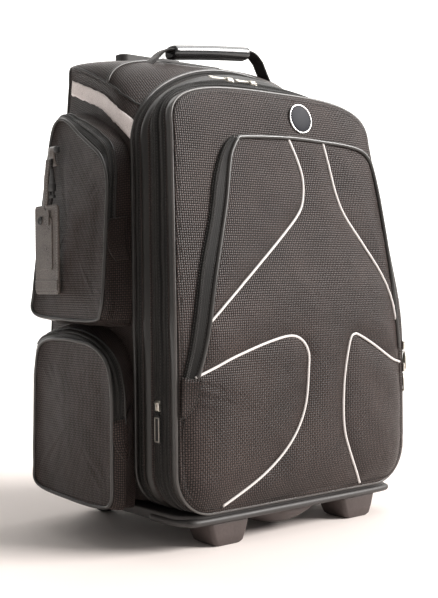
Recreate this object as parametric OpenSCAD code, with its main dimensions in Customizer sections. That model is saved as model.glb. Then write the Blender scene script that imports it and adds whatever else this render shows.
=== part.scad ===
// Rolling bag for two bowling balls: a soft upright body on a moulded base with two rear wheels,
// a two-stage trolley handle, a zipped front section that opens like a book, and side pockets.
// +Z is up, the front faces -Y and the origin is on the floor under the middle of the whole bag.

/* [Body] */
// Width across the front of the bag at its base
body_w = 360; // [350:1:370]
// Depth from the edge of the front panel to the back of the bag
body_d = 264; // [260:1:270]
// Height of the underside of the bag above the floor
base_z = 38; // [37:0.5:39]
// Height of the rear top edge of the bag
rear_top = 572; // [568:1:576]
// Height at which the front and the sides start to lean in
knee_z = 250; // [230:1:270]
// Inward lean of each side above the knee, millimetres per millimetre of height
side_lean = 0.107; // [0.09:0.001:0.12]
// Backward lean of the front above the knee, millimetres per millimetre of height
front_lean = 0.156; // [0.14:0.001:0.17]
// Thickness of the padded fabric walls
wall = 4; // [3:0.5:5]

/* [Front section] */
// Depth of the zipped front section, from panel edge to body rim
section_d = 78; // [76:1:80]
// Depth of the edge of the front panel
panel_d = 12; // [10:1:14]
// Height of the top corners of the front panel
panel_top = 514; // [508:1:520]
// How far the front pocket stands out from the panel
pocket_out = 20; // [14:1:20]

/* [Side pockets] */
// How far the upper pockets stand out from the side
upper_out = 37; // [30:1:38]
// How far the lower pockets stand out from the side
lower_out = 42; // [40:1:44]

/* [Base] */
// Height of the front feet
foot_h = 27; // [26:0.5:28]
// Distance of each front foot's middle from the centre line
foot_x = 104; // [100:1:108]
// Outer radius of the wheels
wheel_r = 31; // [30:0.5:32]
// Width of the tyres
wheel_w = 22; // [20:1:22]
// Distance of each wheel's middle from the centre line
wheel_x = 112; // [110:1:114]

/* [Handles] */
// Distance of each trolley tube from the centre line
tube_x = 70; // [66:1:72]
// Length of the carry handle's grip
grip_l = 126; // [120:1:130]
// Distance between the sewn ends of the carry handle
strap_span = 192; // [186:1:196]

/* [Hidden] */

$fn = 48;

gap = 0.3;              // clearance between pieces that only touch
fit = 0.05;             // clearance between pieces that sit in each other
knee_r = 40;            // half the height over which the lean sets in
back_over = 12;         // how far the wheels reach behind the body
front_y = -(body_d + back_over - pocket_out) / 2;
rim_y = front_y + section_d;          // plane between the front section and the body, at the base
back_y = front_y + body_d;
rim_top = 557;          // height of the body's rim at its crest
shoulder_z = 447;       // height at which the rim's shoulders start to round over
lid_z = base_z + 2;     // underside of the front section

fabric = [0.16, 0.15, 0.155];
lining = [0.3, 0.3, 0.32];
plastic = [0.13, 0.125, 0.125];
metal = [0.72, 0.71, 0.68];
alloy = [0.6, 0.61, 0.63];
foam = [0.35, 0.35, 0.37];

// Lean that sets in smoothly round the knee height.
function soft(z) =
    z < knee_z - knee_r ? 0 :
    z > knee_z + knee_r ? z - knee_z : pow(z - knee_z + knee_r, 2) / (4 * knee_r);
function half_w(z) = body_w / 2 - side_lean * soft(z);
function lean_y(z) = front_lean * soft(z);
function backwards(list) = [for (i = [len(list) - 1:-1:0]) list[i]];
function mirrored(half) = concat(half, [for (p = backwards(half)) [-p[0], p[1]]]);

// Outline of the bag seen from the front, drawn inset by a distance and mirrored about the middle.
function outline(base, top, r_base, r_top, inset) =
    let (zb = base + inset, rb = r_base - inset, rt = r_top - inset,
         zc = top - inset - rt, xb = half_w(zb) - inset, xc = half_w(zc) - inset, crown = 7,
         xt = xc - rt)
    mirrored(concat(
        [for (a = [-90:15:0]) [xb - rb + rb * cos(a), zb + rb + rb * sin(a)]],
        [for (z = [knee_z - knee_r:16:knee_z + knee_r]) [half_w(z) - inset, z]],
        [for (a = [0:15:75]) [xc - rt + rt * cos(a), zc + rt * sin(a)]],
        [for (s = [1:-0.25:0.25]) [xt * s, top - inset + crown * (1 - s * s)]]));

// Outline of the rim: straight sides under one wide elliptical arch.
function arch_line(base, r_base, inset) =
    let (zb = base + inset, rb = r_base - inset, xb = half_w(zb) - inset,
         xs = half_w(shoulder_z) - inset, rise = rim_top - shoulder_z - inset)
    mirrored(concat(
        [for (a = [-90:15:0]) [xb - rb + rb * cos(a), zb + rb + rb * sin(a)]],
        [for (z = [knee_z - knee_r:16:knee_z + knee_r]) [half_w(z) - inset, z]],
        [for (a = [0:7.5:82.5]) [xs * cos(a), shoulder_z + rise * sin(a)]]));

body_line = function (inset) outline(base_z, rear_top - 3, 30, 18, inset);
lid_line = function (inset) arch_line(lid_z, 48, inset);
panel_line = function (inset) outline(lid_z, panel_top, 48, 46, inset);

// Heights at which a leaning edge bends.
bends = concat([0], [for (z = [knee_z - knee_r:16:knee_z + knee_r]) z]);
function lean_edge(y, top) =
    concat([for (z = bends) [y + lean_y(z), z]], [[y + lean_y(top), top]]);

// Front outline pushed along Y.
module along_y(y0, y1, points)
    translate([0, y1, 0]) rotate([90, 0, 0]) linear_extrude(y1 - y0) polygon(points);

// Side outline, in Y and Z, pushed along X.
module along_x(x0, x1, points)
    translate([x0, 0, 0]) rotate([90, 0, 90]) linear_extrude(x1 - x0) polygon(points);

// Slice of an outline between two leaning planes, with a top that slopes from one height to another.
module leaning(y0, y1, top0, top1, points)
    intersection() {
        along_y(y0 - 20, y1 + 80, points);
        along_x(-body_w, body_w, concat(lean_edge(y0, top0), backwards(lean_edge(y1, top1))));
    }

// Rectangle in Y and Z with its own radius at each corner: low front, low rear, high rear, high front.
function pocket_line(y0, y1, z0, z1, r, inset) =
    let (a = y0 + inset, b = y1 - inset, c = z0 + inset, d = z1 - inset,
         s = [for (v = r) max(v - inset, 1)])
    concat([for (t = [180:15:270]) [a + s[0] + s[0] * cos(t), c + s[0] + s[0] * sin(t)]],
           [for (t = [270:15:360]) [b - s[1] + s[1] * cos(t), c + s[1] + s[1] * sin(t)]],
           [for (t = [0:15:90]) [b - s[2] + s[2] * cos(t), d - s[2] + s[2] * sin(t)]],
           [for (t = [90:10:180]) [a + s[3] + s[3] * cos(t), d - s[3] + s[3] * sin(t)]]);

// Rectangle with round corners, centred.
module round_rect(w, d, r) {
    square([w - 2 * r, d], center = true);
    square([w, d - 2 * r], center = true);
    for (sx = [-1, 1], sy = [-1, 1])
        translate([sx * (w / 2 - r), sy * (d / 2 - r)]) circle(r);
}

// Cylinder along X.
module rod_x(x0, x1, r) translate([x0, 0, 0]) rotate([0, 90, 0]) cylinder(r = r, h = x1 - x0);

// ---- Main body -------------------------------------------------------------------------------

shoulder_at = [152, rim_y + lean_y(500), 499.5];   // where the right top corner meets the rim
shoulder_fall = [0.49, 0.6];          // fall of a top corner towards the side and the front
function shoulder_height(x, y) = shoulder_at[2]
    + shoulder_fall[0] * (shoulder_at[0] - x) + shoulder_fall[1] * (y - shoulder_at[1]);

// Puts things on the flat that slopes the right top corner, turned to lie on it.
module on_shoulder(x, y, height) translate([x, y, shoulder_height(x, y)])
    rotate(a = atan(norm(shoulder_fall)), v = [shoulder_fall[1], shoulder_fall[0], 0])
        translate([0, 0, height]) children();

// Body solid with the top corners sloping down towards the rim.
module body_solid(inset, y0, y1) difference() {
    intersection() {
        along_y(front_y - 20, y1, body_line(inset));
        along_x(-body_w, body_w, concat(lean_edge(y0, rim_top + 6 - inset),
            [[y1 - 14, rear_top + 4 - inset], [y1, rear_top - 2 - inset], [y1, 0]]));
    }
    for (side = [0, 1]) mirror([side, 0, 0]) on_shoulder(shoulder_at[0], shoulder_at[1], -inset)
        translate([-150, -150, 0]) cube([300, 400, 120]);
}

housing_w = 44;
housing_y = [back_y - 60, back_y - 1];
housing_top = 72;
bezel_x = 86;                         // half the length of the trolley bezel
bezel_y = [back_y - 29, back_y - 3];

// Room cut out of the rear corners for the wheel housings, wider than them by a margin.
module housing_rooms(height, margin) for (side = [-1, 1])
    translate([side * wheel_x - housing_w / 2 - margin, housing_y[0] - gap, 0])
        cube([housing_w + 2 * margin, 80, height]);

module main_shell() color(fabric) difference() {
    body_solid(0, rim_y + gap, back_y);
    body_solid(wall, rim_y - 10, back_y - wall);
    housing_rooms(housing_top + gap, gap);
    translate([-bezel_x - gap, bezel_y[0] - gap, 540])
        cube([2 * (bezel_x + gap), bezel_y[1] - bezel_y[0] + 2 * gap, 60]);
}

piping_top = 420;                     // height at which the loose piping cord ends

module rim_piping() color(fabric) difference() {
    intersection() {
        leaning(rim_y + 1, rim_y + 6, 620, 620, arch_line(base_z, 30, -2.5));
        translate([-body_w, -body_d, base_z - 0.1])
            cube([2 * body_w, 2 * body_d, piping_top - base_z + 0.1]);
    }
    body_solid(-gap, rim_y - 10, back_y);
    along_x(-body_w, body_w,
        pocket_line(side_y[0] - gap, side_y[1], upper_z[0] - gap, upper_z[1] + gap, upper_r, 0));
}

board_y = back_y - 26;
board_z = [housing_top + 6, 548];
module frame_board() color(lining) intersection() {
    along_y(board_y, board_y + 2, body_line(wall + 2));
    translate([-body_w, -body_d, board_z[0]])
        cube([2 * body_w, 2 * body_d, board_z[1] - board_z[0]]);
}

// ---- Base -------------------------------------------------------------------------------------

tray_z = 27.5;                        // underside of the tray
bumper_r = 80;
bumper_y = front_y + 56;
bumper_z = 3;                         // lowest point of the dome

tray_y = [front_y + 5, back_y - 2];
rib_t = 3;

module base_tray() color(plastic) difference() {
    translate([0, (tray_y[0] + tray_y[1]) / 2, tray_z]) linear_extrude(base_z - gap - tray_z)
        round_rect(body_w - 24, tray_y[1] - tray_y[0], 30);
    translate([0, 0, tray_z + rib_t]) linear_extrude(20) difference() {
        translate([0, -3]) square([body_w - 50, body_d - 30], center = true);
        for (x = [-120:60:120]) translate([x, 0]) square([rib_t, body_d], center = true);
    }
    housing_rooms(60, 3.5);
    for (p = screw_places) translate([p[0], p[1], 0]) cylinder(r = 2.2, h = 60);
}

module centre_bumper() color(plastic) intersection() {
    difference() {
        translate([0, bumper_y, bumper_z + bumper_r]) sphere(bumper_r, $fn = 96);
        translate([0, bumper_y, bumper_z + bumper_r]) sphere(bumper_r - 3, $fn = 96);
    }
    translate([-70, front_y + 7, 0]) cube([140, 130, tray_z - fit]);
}

foot_d = 46;
module front_foot() color(plastic) translate([0, front_y + 6 + foot_d, 0]) rotate([90, 0, 0])
    linear_extrude(foot_d) polygon([[-17, 0], [17, 0], [22, 3], [29, foot_h], [29, tray_z - fit],
                                [-29, tray_z - fit], [-29, foot_h], [-22, 3]]);
module front_foot_left() translate([-foot_x, 0, 0]) front_foot();
module front_foot_right() translate([foot_x, 0, 0]) front_foot();

screw_places = [for (sx = [-1, 1], y = [front_y + 70, 0, back_y - 80]) [sx * 100, y]];
module tray_screws() color(metal) for (p = screw_places) translate([p[0], p[1], 0]) {
    translate([0, 0, tray_z - 2]) cylinder(r = 4.5, h = 2 - fit);
    translate([0, 0, tray_z - 1]) cylinder(r = 2, h = 9);
}

// ---- Wheels -----------------------------------------------------------------------------------

wheel_y = back_y + back_over - wheel_r;
axle_r = 3;
bearing_r = 9.5;
bearing_w = 6;

housing_z = 12;                       // lower edge of the housing's cheeks
well_w = 28;                          // room between the cheeks
module wheel_housing(side) color(plastic) translate([side * wheel_x, 0, 0]) difference() {
    translate([-housing_w / 2, housing_y[0], housing_z])
        cube([housing_w, housing_y[1] - housing_y[0], housing_top - housing_z]);
    translate([0, wheel_y, wheel_r]) rod_x(-well_w / 2, well_w / 2, wheel_r + 4);
    translate([-well_w / 2, wheel_y, 0]) cube([well_w, 60, wheel_r + 20]);
    translate([0, wheel_y, wheel_r]) rod_x(-housing_w, housing_w, axle_r + fit);
    for (s = [-1, 1]) translate([s * (housing_w / 2 + 7), housing_y[0] + 16, housing_z])
        cube([22, 34, 26], center = true);
}
module wheel_housing_left() wheel_housing(-1);
module wheel_housing_right() wheel_housing(1);

module axle(side) color(metal) translate([side * wheel_x, wheel_y, wheel_r]) {
    rod_x(-housing_w / 2 - 1.5, housing_w / 2 + 1.5, axle_r);
    for (x = [-25, housing_w / 2 + 0.2]) rod_x(x, x + 2.8, axle_r + 2);
}
module axle_left() axle(-1);
module axle_right() axle(1);

module ring_x(x0, x1, r_in, r_out)
    rotate([0, 90, 0]) translate([0, 0, x0]) rotate_extrude($fn = 72)
        translate([r_in, 0]) square([r_out - r_in, x1 - x0]);

hub_r = 21;
tread_r = 3;                          // how far the tread is rounded off
module wheel_tyre(side) color([0.09, 0.09, 0.09]) translate([side * wheel_x, wheel_y, wheel_r])
    rotate([0, 90, 0]) rotate_extrude($fn = 96)
        polygon(concat([[hub_r + fit, -wheel_w / 2]],
            [for (a = [-90:22.5:90]) [wheel_r - tread_r + tread_r * cos(a), wheel_w / 2 * sin(a)]],
            [[hub_r + fit, wheel_w / 2]]));
module wheel_tyre_left() wheel_tyre(-1);
module wheel_tyre_right() wheel_tyre(1);

module wheel_hub(side) color([0.3, 0.3, 0.31]) translate([side * wheel_x, wheel_y, wheel_r])
    difference() {
        rod_x(-wheel_w / 2, wheel_w / 2, hub_r);
        rod_x(-20, 20, axle_r + 1.5);
        for (s = [-1, 1]) {
            translate([s * wheel_w / 2, 0, 0]) rod_x(-bearing_w, bearing_w, bearing_r + fit);
            translate([s * wheel_w / 2, 0, 0]) ring_x(-3, 3, bearing_r + 3, hub_r - 2.5);
        }
    }
module wheel_hub_left() wheel_hub(-1);
module wheel_hub_right() wheel_hub(1);

module bearings(side) color(metal) translate([side * wheel_x, wheel_y, wheel_r])
    for (s = [-1, 1]) translate([s * (wheel_w / 2 - bearing_w / 2), 0, 0])
        ring_x(-bearing_w / 2 + fit, bearing_w / 2 - fit, axle_r + fit, bearing_r);
module bearings_left() bearings(-1);
module bearings_right() bearings(1);

// ---- Trolley handle ---------------------------------------------------------------------------

tube_y = back_y - 14;
bezel_z = [563, 575];
outer_tube = [22, 14];
middle_tube = [19.6, 11.6];
inner_tube = [17.2, 9.2];
tube_wall = 0.9;
tube_r = 3;
tube_foot = [50, 56, 62];             // lower ends, outermost tube first
tube_head = [bezel_z[0] - fit, 576.5, 580];

// One tube of a telescoping pair, numbered from the outermost.
module tube(side, size, n) color(alloy)
    translate([side * tube_x, tube_y, tube_foot[n]]) linear_extrude(tube_head[n] - tube_foot[n])
        difference() {
            round_rect(size[0], size[1], tube_r);
            round_rect(size[0] - 2 * tube_wall, size[1] - 2 * tube_wall, tube_r - tube_wall);
        }
module outer_tube_left() tube(-1, outer_tube, 0);
module outer_tube_right() tube(1, outer_tube, 0);
module middle_tube_left() tube(-1, middle_tube, 1);
module middle_tube_right() tube(1, middle_tube, 1);
module inner_tube_left() tube(-1, inner_tube, 2);
module inner_tube_right() tube(1, inner_tube, 2);

floor_z = base_z + wall + gap;        // just above the padded floor of the body
module tube_bracket() color(plastic) translate([-tube_x - 14, tube_y - 8, floor_z])
    cube([2 * tube_x + 28, 16, tube_foot[0] - fit - floor_z]);

module trolley_bezel() color(plastic) difference() {
    translate([-bezel_x, bezel_y[0], bezel_z[0]])
        cube([2 * bezel_x, bezel_y[1] - bezel_y[0], bezel_z[1] - bezel_z[0]]);
    for (s = [-1, 1]) translate([s * tube_x, tube_y, 500]) linear_extrude(100)
        round_rect(middle_tube[0] + 2 * gap, middle_tube[1] + 2 * gap, tube_r);
}

grip_z = [577, 590];
cavity_z = grip_z[0] + 1.5;           // floor of the space inside the grip
button = [29.2, 11.2];
bar_z = [grip_z[1] - 7.4, grip_z[1] - 3.1];
rod_r = 1.5;
rod_foot = 90;

module trolley_grip() color(plastic) difference() {
    translate([0, tube_y, grip_z[0]]) linear_extrude(grip_z[1] - grip_z[0])
        round_rect(2 * tube_x + 26, 23, 9);
    for (s = [-1, 1]) translate([s * tube_x, tube_y, grip_z[0] - 1])
        linear_extrude(tube_head[2] - grip_z[0] + 1.1)
            round_rect(inner_tube[0] + 2 * fit, inner_tube[1] + 2 * fit, tube_r);
    translate([-tube_x - 3, tube_y - 3, cavity_z]) cube([2 * tube_x + 6, 6, 9]);
    translate([0, tube_y, cavity_z]) linear_extrude(20) round_rect(button[0] + 0.8, button[1] + 0.8, 3);
}

module release_button() color([0.35, 0.35, 0.36]) translate([0, tube_y, grip_z[1] - 3])
    linear_extrude(6) round_rect(button[0], button[1], 2.8);

module button_spring() color(metal) translate([0, tube_y, cavity_z + fit]) difference() {
    cylinder(r = 4.5, h = bar_z[0] - cavity_z - 2 * fit);
    translate([0, 0, -1]) cylinder(r = 3.5, h = 8);
}

// A cross bar under the button carries one long rod down each inner tube to its lock.
module release_rods() color(metal) {
    translate([-tube_x - rod_r, tube_y - 2.5, bar_z[0]])
        cube([2 * (tube_x + rod_r), 5, bar_z[1] - bar_z[0]]);
    for (s = [-1, 1]) translate([s * tube_x, tube_y, rod_foot])
        cylinder(r = rod_r, h = bar_z[0] + 0.4 - rod_foot, $fn = 24);
}

// ---- Front section ----------------------------------------------------------------------------

section_y = front_y + panel_d;        // front edge of the ring
ring_top = [panel_top + 9, rim_top + 6];        // crest of the ring at its front and at the rim
ring_rise = (ring_top[1] - ring_top[0]) / (section_d - panel_d);

module lid_gusset() color(fabric) difference() {
    leaning(section_y + gap, rim_y - gap, ring_top[0], ring_top[1], lid_line(0));
    leaning(section_y - 30, rim_y + 30, ring_top[0] - wall - 30 * ring_rise,
            ring_top[1] - wall + 30 * ring_rise, lid_line(wall));
}

divider_y = front_y + 22;
module lid_divider() color(lining) intersection() {
    leaning(divider_y, divider_y + 2, 700, 700, panel_line(wall + 1));
    leaning(divider_y - 9, divider_y + 9, 700, 700, lid_line(wall + 1));
}

coil_y = front_y + 32;                // middle of the zipper that runs round the ring
coil_t = 1.6;
module gusset_coil() color([0.1, 0.1, 0.1]) difference() {
    leaning(coil_y - 5, coil_y + 5, ring_top[0] - 4, ring_top[0] + 2, lid_line(-coil_t));
    leaning(coil_y - 40, coil_y + 40, 700, 700, lid_line(-gap / 2));
    translate([-body_w, -body_d, shoulder_z - 10]) cube([2 * body_w, 2 * body_d, 300]);
}

module front_panel() color(fabric) difference() {
    leaning(front_y, section_y - gap, 700, 700, panel_line(0));
    leaning(front_y + wall, section_y + 20, 700, 700, panel_line(10));
}

// Outline of the raised front pocket: narrow at its top, full width at its foot.
function pocket_face(inset) =
    let (z0 = 52 + inset, r = 34 - inset, xr = 172 - inset, xl = -172 + inset, top = 458 - inset)
    concat([for (a = [-90:15:0]) [xr - r + r * cos(a), z0 + r + r * sin(a)]],
           [[164 - inset, 260], [152 - inset, 390]],
           [for (a = [0:15:90]) [148 - inset - 22 + 22 * cos(a), top - 24 + 22 * sin(a)]],
           [for (a = [90:15:150]) [-60 + inset + 22 * cos(a), top - 24 + 22 * sin(a)]],
           [[-110 + inset, 380], [-140 + inset, 290], [-160 + inset, 220], [xl, 170]],
           [for (a = [180:15:270]) [xl + r + r * cos(a), z0 + r + r * sin(a)]]);

module front_pocket() color(fabric) difference() {
    leaning(front_y - pocket_out, front_y - gap / 2, 700, 700, pocket_face(0));
    leaning(front_y - pocket_out + 3, front_y + 30, 700, 700, pocket_face(3));
}

badge_at = [33, 489];
module name_badge() color([0.1, 0.12, 0.2])
    translate([badge_at[0], front_y + lean_y(badge_at[1]) - gap, badge_at[1]])
        rotate([90 - atan(front_lean), 0, 0]) cylinder(r = 18, h = 3);

// ---- Zipper sliders and their pulls -------------------------------------------------------------

pull_gap = 1.3;                       // room between a slider and the top of its pull
// Slider body: length along Z, standing out along -Y, mouth side at the origin.
module slider_body(length, width, height) difference() {
    translate([-width / 2, -height, -length / 2]) cube([width, height, length]);
    translate([0, -height + 1, -length / 2 - 1]) rotate([90, 0, 0]) translate([0, 2.5, -0.5])
        cylinder(r = 1.2, h = 3, $fn = 16);
}

// Pull tab hanging down from the origin, standing out along -Y.
module pull_tab(length, width, thick) difference() {
    union() {
        translate([-width / 2, -thick, -length]) cube([width, thick, length - 8]);
        translate([-width / 4, -thick, -9]) cube([width / 2, thick, 9]);
    }
    translate([0, 1, -length + 6]) rotate([90, 0, 0]) cylinder(r = 1.8, h = 2 * thick + 2, $fn = 24);
}

gusset_slider_z = 160;
side_x = body_w / 2;
module on_left_side(y, z) translate([-side_x, y, z]) rotate([0, 0, -90]) children();
big_slider = 12;
small_slider = 11;
module gusset_slider() color(metal) on_left_side(coil_y, gusset_slider_z)
    translate([0, -coil_t - gap, 0]) slider_body(big_slider, 8.5, 4);
module gusset_pull() color([0.12, 0.12, 0.13])
    on_left_side(coil_y, gusset_slider_z - big_slider / 2 - pull_gap)
        translate([0, -coil_t - gap - 1, 0]) pull_tab(34, 10, 1.8);

// The two panel sliders run along the top of the ring, just behind the panel's edge.
panel_zip_z = panel_top + 12;
panel_zip_y = front_y + lean_y(panel_top) + 21;
panel_slider_x = [-52, -16];
module on_top(x) translate([x, panel_zip_y, panel_zip_z + 5.2]) rotate([-60, 0, 0])
    rotate([0, 90, 0]) children();
module panel_slider_left() color(metal) on_top(panel_slider_x[0]) slider_body(small_slider, 8, 4);
module panel_slider_right() color(metal) on_top(panel_slider_x[1]) slider_body(small_slider, 8, 4);
module panel_pull_left() color(metal) on_top(panel_slider_x[0] - small_slider / 2 - pull_gap)
    translate([0, -1.2, 0]) pull_tab(24, 6, 1.6);
module panel_pull_right() color(metal) on_top(panel_slider_x[1] - small_slider / 2 - pull_gap)
    translate([0, -1.2, 0]) pull_tab(20, 6, 1.6);

// The two pocket sliders run up and down the right edge of the front pocket.
pocket_slider_z = [210, 182];
module on_right_side(z) translate([side_x + gap, front_y + 1, z]) rotate([0, 0, 90]) children();
module pocket_slider_upper() color(metal) on_right_side(pocket_slider_z[0]) slider_body(small_slider, 8, 4);
module pocket_slider_lower() color(metal) on_right_side(pocket_slider_z[1]) slider_body(small_slider, 8, 4);
module pocket_pull_upper() color(metal)
    on_right_side(pocket_slider_z[0] - small_slider / 2 - pull_gap)
        translate([0, -5, 0]) pull_tab(24, 6, 1.6);
module pocket_pull_lower() color(metal)
    on_right_side(pocket_slider_z[1] - small_slider / 2 - pull_gap)
        translate([0, -1.2, 0]) pull_tab(24, 6, 1.6);

// ---- Side pockets -------------------------------------------------------------------------------

module side_pocket(side, out, y0, y1, z0, z1, r)
    intersection() {
        along_x(side > 0 ? 60 : -body_w, side > 0 ? body_w : -60, pocket_line(y0, y1, z0, z1, r, 0));
        difference() {
            along_y(y0, y1, outline(base_z, rear_top, 30, 18, -out));
            along_y(y0 - 1, y1 + 1, outline(base_z, rear_top + 80, 30, 18, -gap));
            difference() {
                along_x(-body_w, body_w, pocket_line(y0, y1, z0, z1, r, wall));
                along_y(y0 - 1, y1 + 1, [[-400, -50], [-350, -50], [-350, 700], [-400, 700]]);
                difference() {
                    along_x(-body_w, body_w, [[y0 - 9, -50], [y1 + 9, -50], [y1 + 9, 700], [y0 - 9, 700]]);
                    along_y(y0 - 1, y1 + 1, outline(base_z, rear_top, 30, 18, -out + wall));
                }
            }
        }
    }

upper_z = [257, 497];
upper_r = [14, 18, 26, 84];
lower_z = [41, 243];
side_y = [rim_y + 8, back_y - 14];
module upper_pocket(side) color(fabric)
    side_pocket(side, upper_out, side_y[0], side_y[1], upper_z[0], upper_z[1], upper_r);
module lower_pocket(side) color(fabric)
    side_pocket(side, lower_out, side_y[0], side_y[1], lower_z[0], lower_z[1], [24, 24, 22, 74]);
module upper_pocket_left() upper_pocket(-1);
module upper_pocket_right() upper_pocket(1);
module lower_pocket_left() lower_pocket(-1);
module lower_pocket_right() lower_pocket(1);

// ---- Inside the main compartment ------------------------------------------------------------------

ball_r = 109;
ball_y = rim_y + 56;
inner_y = [rim_y + 8, back_y - 28];

module lower_ball_cup() color(foam) difference() {
    translate([-84, inner_y[0], base_z + wall + gap])
        cube([168, inner_y[1] - inner_y[0], 38]);
    translate([0, ball_y, 50 + ball_r + 1]) sphere(ball_r + 1, $fn = 96);
}

module upper_ball_shelf() color(foam) difference() {
    translate([-half_w(290) + wall + 1.5, inner_y[0], 276])
        cube([2 * (half_w(290) - wall - 1.5), inner_y[1] - inner_y[0], 14]);
    translate([0, ball_y, 270]) cylinder(r = 60, h = 30, $fn = 72);
}

// ---- Luggage tag ------------------------------------------------------------------------------------

tag_pivot = [-212.5, front_y + 205, 438];
tag_x = -215.3;                       // inner face of the tag
module tag_strap() color([0.28, 0.27, 0.28]) difference() {
    translate([-207.8, tag_pivot[1] - 7, tag_pivot[2] - 4]) cube([10.2, 14, 26]);
    translate([-205.8, tag_pivot[1] - 8, tag_pivot[2] + 2]) cube([5.8, 16, 14]);
}
module tag_lanyard() color([0.15, 0.15, 0.15]) {
    translate([-211.2, tag_pivot[1] - 6, tag_pivot[2] - 28]) cube([2.6, 12, 34]);
    translate([-213.6, tag_pivot[1] - 8, tag_pivot[2] - 46]) cube([4, 16, 19]);
}
tag_h = 106;
tag_w = 54;
module luggage_tag() color([0.3, 0.29, 0.3])
    translate([tag_x, tag_pivot[1], tag_pivot[2] - 50 - tag_h / 2 - 1])
        rotate([0, -90, 0]) linear_extrude(3) difference() {
            round_rect(tag_h, tag_w, 7);
            translate([tag_h / 2 - 9, 0]) round_rect(6, 16, 2.5);
        }

// ---- Carry handle -----------------------------------------------------------------------------------

handle_y = front_y + 170;
handle_z = 587;                       // underside of the strap where it carries the grip
strap_w = 22;
strap_t = 3;
anchor_t = 2.2;

module handle_anchors() color(fabric) for (side = [0, 1]) mirror([side, 0, 0])
    on_shoulder(strap_span / 2 + 5, handle_y, gap) linear_extrude(anchor_t) round_rect(22, 24, 3);

// Underside of the strap from its sewn end to the middle, in X and Z.
strap_path = [[strap_span / 2 + 9, handle_z - 36], [strap_span / 2 - 5, handle_z - 16],
              [grip_l / 2 + 10, handle_z - 3], [grip_l / 2, handle_z - 1], [0, handle_z]];
module carry_strap() color(fabric) difference() {
    translate([0, handle_y + strap_w / 2, 0]) rotate([90, 0, 0]) linear_extrude(strap_w)
        polygon(concat(mirrored(strap_path),
                       backwards(mirrored([for (p = strap_path) [p[0], p[1] + strap_t]]))));
    for (side = [0, 1]) mirror([side, 0, 0])
        on_shoulder(strap_span / 2, handle_y, anchor_t + 2 * gap - 60)
            translate([-20, -40, 0]) cube([80, 80, 60]);
}

module carry_grip() color([0.07, 0.07, 0.075]) difference() {
    translate([-grip_l / 2 + 1, handle_y, handle_z + 0.8]) rotate([0, 90, 0])
        linear_extrude(grip_l - 2) round_rect(18, 26, 8);
    translate([-grip_l, handle_y - strap_w / 2 - gap, handle_z - 1.5])
        cube([2 * grip_l, strap_w + 2 * gap, strap_t + 2]);
}

main_shell();
rim_piping();
frame_board();
base_tray();
centre_bumper();
front_foot_left();
front_foot_right();
wheel_housing_left();
wheel_housing_right();
axle_left();
axle_right();
outer_tube_left();
outer_tube_right();
tube_bracket();
trolley_bezel();
upper_pocket_left();
upper_pocket_right();
lower_pocket_left();
lower_pocket_right();
lower_ball_cup();
upper_ball_shelf();
tag_strap();
tray_screws();
handle_anchors();
wheel_hub_left();
wheel_hub_right();
wheel_tyre_left();
wheel_tyre_right();
bearings_left();
bearings_right();
middle_tube_left();
middle_tube_right();
inner_tube_left();
inner_tube_right();
trolley_grip();
release_button();
button_spring();
release_rods();
lid_gusset();
lid_divider();
gusset_coil();
front_panel();
front_pocket();
name_badge();
gusset_slider();
gusset_pull();
panel_slider_left();
panel_slider_right();
panel_pull_left();
panel_pull_right();
pocket_slider_upper();
pocket_slider_lower();
pocket_pull_upper();
pocket_pull_lower();
tag_lanyard();
luggage_tag();
carry_grip();
carry_strap();
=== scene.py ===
import math
import bmesh
import bpy
import numpy as np
from mathutils import Matrix, Vector, noise


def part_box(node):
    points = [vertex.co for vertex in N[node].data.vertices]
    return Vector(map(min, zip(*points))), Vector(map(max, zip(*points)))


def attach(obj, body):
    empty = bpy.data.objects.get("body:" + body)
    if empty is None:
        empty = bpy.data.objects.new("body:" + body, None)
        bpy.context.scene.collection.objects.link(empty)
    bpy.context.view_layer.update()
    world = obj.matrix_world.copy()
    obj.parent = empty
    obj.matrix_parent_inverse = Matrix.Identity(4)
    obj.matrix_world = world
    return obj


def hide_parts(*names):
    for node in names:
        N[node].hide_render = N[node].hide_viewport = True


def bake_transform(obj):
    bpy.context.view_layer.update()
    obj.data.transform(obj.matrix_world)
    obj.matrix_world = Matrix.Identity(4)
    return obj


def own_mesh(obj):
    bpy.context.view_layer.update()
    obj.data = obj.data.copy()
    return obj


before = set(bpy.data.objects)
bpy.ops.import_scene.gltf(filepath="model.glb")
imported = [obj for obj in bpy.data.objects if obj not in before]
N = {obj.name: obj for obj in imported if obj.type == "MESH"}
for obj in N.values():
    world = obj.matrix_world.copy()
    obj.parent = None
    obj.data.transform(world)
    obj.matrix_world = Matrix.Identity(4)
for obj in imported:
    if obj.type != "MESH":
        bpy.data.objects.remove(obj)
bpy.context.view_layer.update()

FRONT = -128.0      # row y of the front panel's plane at its base, in mm


# ---- Shape of the bag, in millimetres ------------------------------------------------------------

def soft(z):
    z = np.asarray(z, float)
    return np.where(z < 210, 0.0, np.where(z > 290, z - 250, (z - 210) ** 2 / 160))


def half(z):
    return 180 - .107 * soft(z)


def lean(z):
    return .156 * soft(z)


def resample(pts, n, closed=False):
    pts = np.asarray(pts, float)
    if closed:
        pts = np.vstack([pts, pts[:1]])
    seg = np.linalg.norm(np.diff(pts, axis=0), axis=1)
    s = np.concatenate([[0], np.cumsum(seg)])
    t = np.linspace(0, s[-1], n + 1)[:-1] if closed else np.linspace(0, s[-1], n)
    return np.stack([np.interp(t, s, pts[:, k]) for k in range(pts.shape[1])], 1)


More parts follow.
